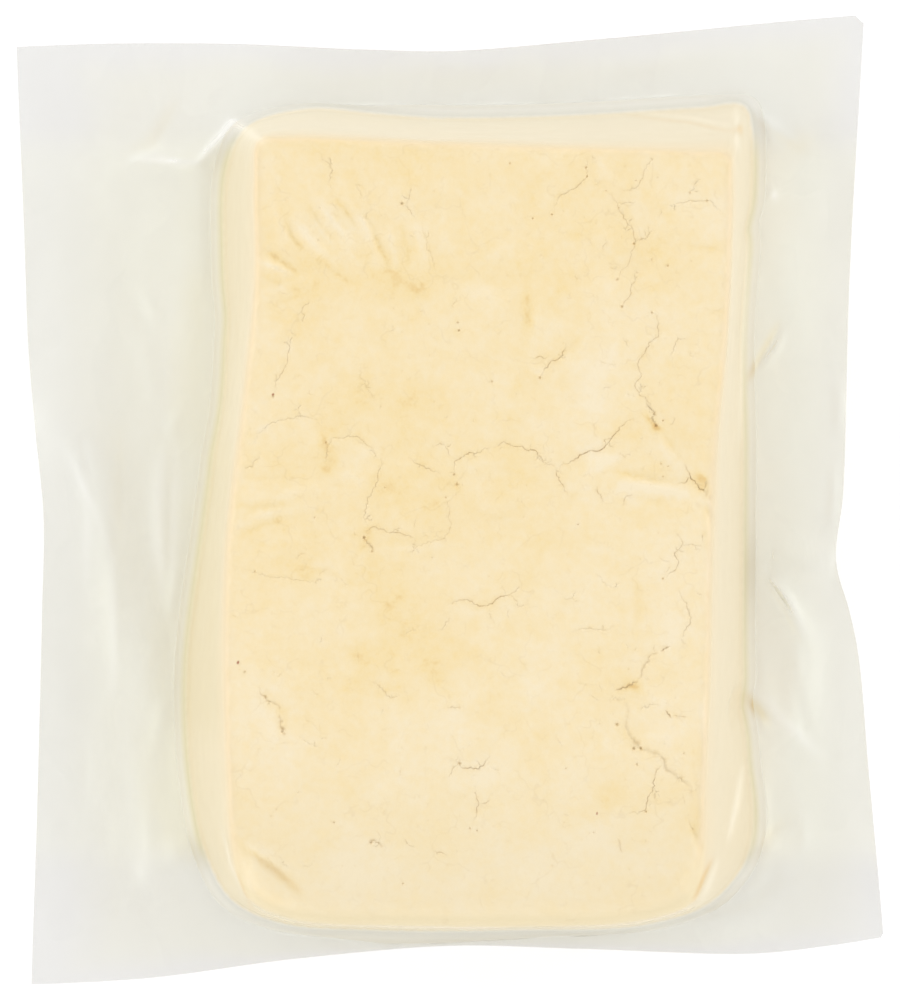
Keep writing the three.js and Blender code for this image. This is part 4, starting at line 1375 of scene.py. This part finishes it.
class Nodes:
    """A short way to write a node tree."""

    def __init__(self, name):
        self.material = bpy.data.materials.new(name)
        self.material.use_nodes = True
        self.tree = self.material.node_tree
        self.shader = self.tree.nodes["Principled BSDF"]

    def add(self, kind, inputs=None, **settings):
        node = self.tree.nodes.new(kind)
        for key, value in settings.items():
            setattr(node, key, value)
        for key, value in (inputs or {}).items():
            self.plug(node.inputs[key], value)
        return node

    def plug(self, socket, value):
        if hasattr(value, "is_output"):
            self.tree.links.new(value, socket)
        else:
            socket.default_value = value

    def value(self, label):
        return self.add("ShaderNodeAttribute", attribute_name=label).outputs["Fac"]

    def part(self, label, strength):
        """A value of the mesh, times a strength."""
        return self.math("MULTIPLY", self.value(label), strength)

    def math(self, operation, a, b=0.0, clamp=False):
        node = self.add("ShaderNodeMath", {0: a, 1: b}, operation=operation, use_clamp=clamp)
        return node.outputs[0]

    def noise(self, scale, detail=2.0, roughness=0.5, stretch=(1, 1, 1)):
        spot = self.add("ShaderNodeTexCoord").outputs["Object"]
        spot = self.add("ShaderNodeMapping", {"Vector": spot, "Scale": stretch}).outputs[0]
        return self.add("ShaderNodeTexNoise", {"Vector": spot, "Scale": scale, "Detail": detail,
                                               "Roughness": roughness}).outputs["Fac"]

    def ramp(self, value, low, high, start=0.0, end=1.0):
        node = self.add("ShaderNodeMapRange", {"Value": value, "From Min": low, "From Max": high,
                                               "To Min": start, "To Max": end}, clamp=True)
        return node.outputs[0]

    def centred(self, noise, reach):
        """A noise that is spread from -reach to reach."""
        return self.ramp(noise, NOISE_LOW, NOISE_HIGH, -reach, reach)

    def blend(self, share, first, second):
        node = self.add("ShaderNodeMix", data_type="RGBA")
        self.plug(node.inputs["Factor"], share)
        self.plug(node.inputs[6], first)
        self.plug(node.inputs[7], second)
        return node.outputs[2]

    def set(self, **values):
        for key, value in values.items():
            self.plug(self.shader.inputs[key.replace("_", " ")], value)


CURD = (0.812, 0.668, 0.408, 1)
CURD_DEEP = (0.80, 0.629, 0.325, 1)
CURD_PALE = (0.818, 0.703, 0.493, 1)
CURD_STAIN = (0.70, 0.475, 0.175, 1)
# Painted shade for the rounded edge of the face.
CURD_RIM_PAINTED_SHADE = (0.69, 0.535, 0.33, 1)
# Painted shade for the rounded lower edge of the face.
CURD_LOW_EDGE_PAINTED_SHADE = (0.69, 0.58, 0.36, 1)
# Painted shade on the face toward the bottom of the pack.
CURD_BOTTOM_PAINTED_SHADE = (0.71, 0.60, 0.385, 1)
CURD_EDGE = (0.68, 0.56, 0.36, 1)
CURD_WALL = (0.655, 0.565, 0.392, 1)
CURD_WALL_GREEN = (0.608, 0.519, 0.326, 1)
WALL_TOP = (0.672, 0.595, 0.44, 1)
WHEY_INNER = (0.65, 0.59, 0.405, 1)
WHEY = (0.805, 0.785, 0.73, 1)
WHEY_ENDS = (0.82, 0.812, 0.785, 1)
WHEY_ENDS_INNER = (0.67, 0.655, 0.60, 1)
# Painted light on the whey toward the bottom of the pack.
WHEY_BOTTOM_PAINTED_LIGHT = (0.91, 0.90, 0.84, 1)
# Painted light at the outer edge of the toe.
WHEY_TOE_PAINTED_LIGHT = (0.87, 0.86, 0.82, 1)
# Painted highlight on creases, and the colour of whey with painted shade in them.
CREASE_PAINTED_HIGHLIGHT = (0.86, 0.80, 0.66, 1)
CREASE_WHEY_AND_SHADE = (0.62, 0.42, 0.17, 1)
CRACK_SHADE = (0.45, 0.28, 0.10, 1)
SPECK_BROWN = (0.30, 0.07, 0.02, 1)

# How strongly noise, marks and zones change the tone of the curd, how far down the walls the colour of
# their edge goes as a share of the height, how noise breaks the cracks, and the grain, with its height in
# metres.
BROAD_TONE = 0.6
MIDDLE_TONE = 0.38
FINE_TONE = 0.32
# How strong the painted highlight on the ripples' ridges and the painted shade in their valleys are.
RIPPLE_PAINTED_LIGHT = 3.6
# How strong the painted shade along the face's edge is.
RIM_PAINTED_SHADE_SHARE = 0.7
# How strong the painted shade on the face toward the bottom is.
BOTTOM_SHADE_SHARE = 0.3
# How strong the painted light on the whey toward the bottom is.
WHEY_BOTTOM_LIGHT_SHARE = 0.5
EDGE_DEPTH = 0.25
HALO_SHARE = 0.18
# How strong the painted highlight and the whey with painted shade on creases are.
CREASE_HIGHLIGHT_SHARE = 0.8
CREASE_WHEY_AND_SHADE_SHARE = 0.85
BROKEN_CRACKS = (0.34, 0.6, 0.3, 0.62)
GRAIN_STRENGTH = 0.1
GRAIN_LOSS_ON_WALLS = 0.08
GRAIN_HEIGHT = 0.0003
CURD_ROUGHNESS = (0.42, 0.58)

# Zones of the whey: where each starts and is full, in mm outward from the foot of the walls. The last
# goes no further than a share.
WHEY_INNER_ZONE = (0.0, 0.5)
WHEY_OUTER_ZONE = (0.6, 1.5)
# The last zone is painted light at the outer edge of the toe.
WHEY_TOE_LIGHT_ZONE = (1.5, 2.3, 0.0, 0.5)

# Hairlines: cells to the metre, half width of the line in cells, the noise at which it starts and is full,
# and its strength.
HAIRLINES = ((120, 0.025, 0.48, 0.6, 0.13), (290, 0.045, 0.52, 0.62, 0.1))


def tofu_material():
    """The curd and the whey at its foot, with painted highlight and shade on ripples and creases, and painted
    shade and light at edges, toe and bottom.
    """
    n = Nodes("tofu_curd")
    broad = n.centred(n.noise(60, 3, 0.6), BROAD_TONE)
    middle = n.centred(n.noise(210, 3, 0.6), MIDDLE_TONE)
    specks = n.noise(800, 2, 0.65)
    fine = n.centred(specks, FINE_TONE)
    tone = n.math("ADD", n.math("ADD", broad, middle), n.math("ADD", fine, n.value("tint")))
    # Painted highlight on the ripples' ridges and painted shade in their valleys.
    tone = n.math("SUBTRACT", tone, n.part("ripple_painted_light", RIPPLE_PAINTED_LIGHT))
    colour = n.blend(n.ramp(tone, -1.0, 0.0), CURD_PALE, CURD)
    colour = n.blend(n.ramp(tone, 0.0, 1.0), colour, CURD_DEEP)
    colour = n.blend(n.ramp(tone, 1.0, 2.0), colour, CURD_STAIN)
    # Painted shade along the rounded edge of the face.
    colour = n.blend(n.part("rim", RIM_PAINTED_SHADE_SHARE), colour, CURD_RIM_PAINTED_SHADE)
    # Painted shade on the face toward the bottom of the pack.
    colour = n.blend(n.part("bottom_painted_light_and_shade", BOTTOM_SHADE_SHARE), colour, CURD_BOTTOM_PAINTED_SHADE)
    # Painted shade on the rounded lower edge of the face.
    colour = n.blend(n.value("low"), colour, CURD_LOW_EDGE_PAINTED_SHADE)
    wall_tone = wall_colour(n)
    face_only = n.math("SUBTRACT", 1.0, n.value("side"))
    for scale, width, start, end, strength in HAIRLINES:
        line = n.math("MULTIPLY", hairlines(n, scale, width, start, end), strength)
        colour = n.blend(n.math("MULTIPLY", line, face_only), colour, CRACK_SHADE)
    colour = n.blend(n.value("side"), colour, wall_tone)
    # Painted highlight on creases, and whey with painted shade in them.
    colour = n.blend(n.ramp(n.value("crease_light_shade_and_whey"), 0.0, 1.0, 0.0, CREASE_HIGHLIGHT_SHARE), colour, CREASE_PAINTED_HIGHLIGHT)
    colour = n.blend(n.ramp(n.value("crease_light_shade_and_whey"), 0.0, -1.0, 0.0, CREASE_WHEY_AND_SHADE_SHARE), colour, CREASE_WHEY_AND_SHADE)
    colour = n.blend(n.part("halo", HALO_SHARE), colour, CURD_STAIN)
    broken = n.ramp(specks, *BROKEN_CRACKS)
    colour = n.blend(n.math("MULTIPLY", n.value("crack"), broken), colour, CRACK_SHADE)
    colour = n.blend(n.value("speck"), colour, SPECK_BROWN)
    level = n.math("SUBTRACT", GRAIN_STRENGTH, n.part("wall", GRAIN_LOSS_ON_WALLS))
    grain = n.add("ShaderNodeBump", {"Strength": level, "Distance": GRAIN_HEIGHT,
                                     "Height": n.noise(1500, 2, 0.6)})
    rough = n.ramp(middle, -MIDDLE_TONE, MIDDLE_TONE, *CURD_ROUGHNESS)
    n.set(Base_Color=colour, Roughness=rough, Normal=grain.outputs[0])
    return n.material


def wall_colour(n):
    """The curd of the walls, and the whey outward from their foot, with painted light at the toe's edge and
    toward the bottom of the pack.
    """
    tone = n.blend(n.value("top"), n.blend(n.value("left"), CURD_WALL, CURD_WALL_GREEN), WALL_TOP)
    tone = n.blend(n.ramp(n.value("depth"), 0.0, EDGE_DEPTH), CURD_EDGE, tone)
    inner = n.blend(n.value("ends"), WHEY_INNER, WHEY_ENDS_INNER)
    tone = n.blend(n.ramp(n.value("toe"), *WHEY_INNER_ZONE), tone, inner)
    outer = n.blend(n.value("ends"), WHEY, WHEY_ENDS)
    # Painted light on the whey toward the bottom of the pack.
    outer = n.blend(n.part("bottom_painted_light_and_shade", WHEY_BOTTOM_LIGHT_SHARE), outer, WHEY_BOTTOM_PAINTED_LIGHT)
    tone = n.blend(n.ramp(n.value("toe"), *WHEY_OUTER_ZONE), tone, outer)
    # Painted light at the outer edge of the toe.
    return n.blend(n.ramp(n.value("toe"), *WHEY_TOE_LIGHT_ZONE), tone, WHEY_TOE_PAINTED_LIGHT)


def hairlines(n, scale, width, start, end):
    """Fine faint lines between curds, in broken stretches."""
    spot = n.add("ShaderNodeTexCoord").outputs["Object"]
    shift = n.add("ShaderNodeTexNoise", {"Vector": spot, "Scale": 3 * scale, "Detail": 1.0},
                  noise_dimensions="2D").outputs["Color"]
    reach = 0.5 / scale
    moved = n.add("ShaderNodeVectorMath", {0: shift, 1: (reach, reach, 0.0)}, operation="MULTIPLY").outputs[0]
    place = n.add("ShaderNodeVectorMath", {0: spot, 1: moved}, operation="ADD").outputs[0]
    cells = n.add("ShaderNodeTexVoronoi", {"Vector": place, "Scale": scale}, voronoi_dimensions="2D",
                  feature="DISTANCE_TO_EDGE")
    line = n.ramp(cells.outputs["Distance"], 0.0, width, 1.0, 0.0)
    where = n.ramp(n.noise(1.7 * scale, 1, 0.6), start, end)
    return n.math("MULTIPLY", line, where)


# The film's colour by zone: its grey haze, darker toward the block as painted shade, and lighter or darker
# between the sides and the ends as painted light.
FILM_NEAR_LEFT = (0.58, 0.54, 0.29, 1)
FILM_NEAR_RIGHT = (0.645, 0.59, 0.385, 1)
FILM_NEAR_ENDS = (0.54, 0.53, 0.425, 1)
FILM_MIDDLE_LEFT = (0.62, 0.61, 0.46, 1)
FILM_MIDDLE_RIGHT = (0.65, 0.645, 0.495, 1)
FILM_MIDDLE_ENDS = (0.57, 0.555, 0.445, 1)
FILM_OUTER_LEFT = (0.59, 0.585, 0.495, 1)
FILM_OUTER_RIGHT = (0.64, 0.63, 0.515, 1)
FILM_OUTER_ENDS = (0.55, 0.54, 0.515, 1)
FILM_WALL = (0.80, 0.76, 0.62, 1)
# Painted highlight on the film's creases, and whey with painted shade in them.
FILM_PAINTED_HIGHLIGHT = (0.90, 0.90, 0.86, 1)
FILM_WHEY_AND_SHADE = (0.56, 0.40, 0.0, 1)
OUTER_VEIL = 0.27
MIDDLE_VEIL = 0.285
NEAR_VEIL = 0.30
WALL_VEIL = 0.05
GLOSS_SHARE = 0.3
GLOSS_BLEND = 0.35
FILM_IOR = 1.5
OPEN_AFTER = 0.6
DIMPLE_STRENGTH = 0.03
DIMPLE_LOSS_ON_WALLS = 0.025
DIMPLE_HEIGHT = 0.0002
FILM_ROUGHNESS = (0.2, 0.34)
WALL_ROUGHNESS = 0.34

# How far the cloudy noise shifts the zones and the veil, and where one zone gives way to the next: near
# and middle in mm from the foot, outer in shares of the margin, and the steps of the veil in mm.
CLOUD_AWAY = 3.0
CLOUD_MARGIN = 0.12
CLOUD_VEIL = 0.015
NEAR_TO_MIDDLE = (3.0, 9.0)
MIDDLE_TO_OUTER = (0.5, 0.85)
VEIL_NEAR = 2.0
VEIL_MIDDLE = 14.0
VEIL_OUTER = 26.0


def film_haze_and_painted_shade(n, left, right, ends):
    """One zone of the margin's haze: warmer beside the block than above and below it, with painted light that
    differs by side and end.
    """
    return n.blend(n.value("ends"), n.blend(n.value("right"), left, right), ends)


def film_material():
    """The clear film: a thin veil of colour with a gloss on it, and next to nothing on the walls. The veil
    holds painted shade that grows toward the block.
    """
    n = Nodes("pouch_film")
    away = n.value("away")
    cloud = n.noise(45, 2, 0.6, (1.4, 0.8, 1))
    soft = n.math("ADD", away, n.centred(cloud, CLOUD_AWAY))
    share = n.math("ADD", n.value("margin"), n.centred(cloud, CLOUD_MARGIN))
    # The haze darkens toward the block as painted shade.
    colour = n.blend(n.ramp(soft, *NEAR_TO_MIDDLE),
                     film_haze_and_painted_shade(n, FILM_NEAR_LEFT, FILM_NEAR_RIGHT, FILM_NEAR_ENDS),
                     film_haze_and_painted_shade(n, FILM_MIDDLE_LEFT, FILM_MIDDLE_RIGHT, FILM_MIDDLE_ENDS))
    colour = n.blend(n.ramp(share, *MIDDLE_TO_OUTER), colour,
                     film_haze_and_painted_shade(n, FILM_OUTER_LEFT, FILM_OUTER_RIGHT, FILM_OUTER_ENDS))
    open_film = n.ramp(away, 0.0, OPEN_AFTER)
    # Painted highlight on the creases, and whey with painted shade in them.
    crease_light_shade_and_whey = n.math("MULTIPLY", n.value("crease_light_shade_and_whey"), open_film)
    colour = n.blend(n.ramp(crease_light_shade_and_whey, 0.0, 1.0), colour, FILM_PAINTED_HIGHLIGHT)
    colour = n.blend(n.ramp(crease_light_shade_and_whey, 0.0, -1.0), colour, FILM_WHEY_AND_SHADE)
    colour = n.blend(open_film, FILM_WALL, colour)
    veil = n.math("ADD", n.ramp(away, VEIL_NEAR, VEIL_MIDDLE, NEAR_VEIL, MIDDLE_VEIL),
                  n.ramp(away, VEIL_MIDDLE, VEIL_OUTER, 0.0, OUTER_VEIL - MIDDLE_VEIL))
    veil = n.math("ADD", veil, n.centred(cloud, CLOUD_VEIL))
    veil = n.math("ADD", n.math("MULTIPLY", n.math("SUBTRACT", veil, WALL_VEIL), open_film), WALL_VEIL)
    gloss = n.add("ShaderNodeLayerWeight", {"Blend": GLOSS_BLEND}).outputs["Fresnel"]
    alpha = n.math("ADD", veil, n.math("MULTIPLY", gloss, GLOSS_SHARE), clamp=True)
    level = n.math("SUBTRACT", DIMPLE_STRENGTH, n.part("wall", DIMPLE_LOSS_ON_WALLS))
    dimple = n.add("ShaderNodeBump", {"Strength": level, "Distance": DIMPLE_HEIGHT,
                                      "Height": n.noise(700, 1, 0.5)})
    rough = n.math("ADD", n.ramp(cloud, NOISE_LOW, NOISE_HIGH, *FILM_ROUGHNESS),
                   n.part("wall", WALL_ROUGHNESS))
    n.set(Base_Color=colour, Roughness=rough, Alpha=alpha, Normal=dimple.outputs[0])
    n.set(IOR=FILM_IOR)
    return n.material


WHITE = (1, 1, 1, 1)
FLOOR_DARK = (0.54, 0.54, 0.54, 1)
FLOOR_LIGHT = (0.56, 0.56, 0.56, 1)
FLOOR_GLOW = 0.47
FLOOR_ROUGHNESS = 0.9


def floor_material():
    """The pale table, with a glow of its own so that it stays even."""
    n = Nodes("pale_floor")
    speckle = n.ramp(n.noise(30, 2), NOISE_LOW, NOISE_HIGH)
    n.set(Base_Color=n.blend(speckle, FLOOR_DARK, FLOOR_LIGHT), Roughness=FLOOR_ROUGHNESS)
    n.set(Emission_Color=WHITE, Emission_Strength=FLOOR_GLOW)
    return n.material


# ---------------------------------------------------------------- stage

def make_camera():
    """A far camera straight above, framed as the photo is."""
    lens = bpy.data.cameras.new("camera")
    lens.sensor_fit = "VERTICAL"
    lens.sensor_height = SENSOR
    lens.lens = SENSOR * (CAMERA_HEIGHT - SEAM_HEIGHT) / (FRAME_HEIGHT * MARGIN_PIXEL)
    lens.clip_end = CLIP_END
    camera = bpy.data.objects.new("camera", lens)
    camera.location = (0, 0, CAMERA_HEIGHT * MM)
    bpy.context.collection.objects.link(camera)
    bpy.context.scene.camera = camera


# Soft square lights: name, place in metres, power in watts.
LIGHTS = (("light_back", (-0.25, 0.85, 0.75), 0.5), ("light_left", (-0.9, 0.1, 0.7), 1.9),
          ("light_right", (0.9, 0.15, 0.7), 1.6))
LIGHT_SIZE = 0.6
FLOOR_REACH = 4.0
FLOOR_DROP = 0.0002


def make_light(name, place, power):
    """A soft square light that faces the pack."""
    lamp = bpy.data.lights.new(name, "AREA")
    lamp.size = LIGHT_SIZE
    lamp.energy = power
    light = bpy.data.objects.new(name, lamp)
    light.location = place
    light.rotation_euler = (-Vector(place)).to_track_quat("-Z", "Y").to_euler()
    bpy.context.collection.objects.link(light)


SKY_OVERHEAD = 0.72
SKY_HORIZON = 2.2
SKY_TURN = 0.8


def make_sky():
    """A light tent: white all round, and brighter low down than overhead."""
    world = bpy.data.worlds.new("studio")
    world.use_nodes = True
    nodes, links = world.node_tree.nodes, world.node_tree.links
    spot = nodes.new("ShaderNodeTexCoord")
    axes = nodes.new("ShaderNodeSeparateXYZ")
    level = nodes.new("ShaderNodeMapRange")
    level.interpolation_type = "SMOOTHSTEP"
    for name, value in (("From Min", 0.0), ("From Max", SKY_TURN),
                        ("To Min", SKY_HORIZON), ("To Max", SKY_OVERHEAD)):
        level.inputs[name].default_value = value
    links.new(spot.outputs["Generated"], axes.inputs[0])
    links.new(axes.outputs["Z"], level.inputs["Value"])
    links.new(level.outputs[0], nodes["Background"].inputs["Strength"])
    nodes["Background"].inputs["Color"].default_value = WHITE
    bpy.context.scene.world = world


def make_stage():
    """The sky, the lights and the floor."""
    make_sky()
    for name, place, power in LIGHTS:
        make_light(name, place, power)
    mesh = bpy.data.meshes.new("floor")
    corners = [(FLOOR_REACH * x, FLOOR_REACH * y, 0) for x, y in ((-1, -1), (1, -1), (1, 1), (-1, 1))]
    mesh.from_pydata(corners, [], [(0, 1, 2, 3)])
    mesh.materials.append(floor_material())
    floor = bpy.data.objects.new("floor", mesh)
    floor.location.z = -FLOOR_DROP
    bpy.context.collection.objects.link(floor)
    bpy.context.scene.view_settings.view_transform = "Standard"
    bpy.context.scene.cycles.max_bounces = 5
    bpy.context.scene.cycles.diffuse_bounces = 3
    bpy.context.scene.cycles.glossy_bounces = 2


make_camera()
make_stage()

film = film_material()
pieces = [(build_tofu(), tofu_material(), "tofu"),
          (build_film_top(), film, "pouch_film"),
          (build_film_back(), film, "pouch_film")]
for piece, material, slot in pieces:
    piece.data.materials.append(material)
    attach(piece, BODY)
    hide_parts(NODE)
    piece.visible_shadow = slot == "tofu"
    piece.visible_diffuse = slot == "tofu"
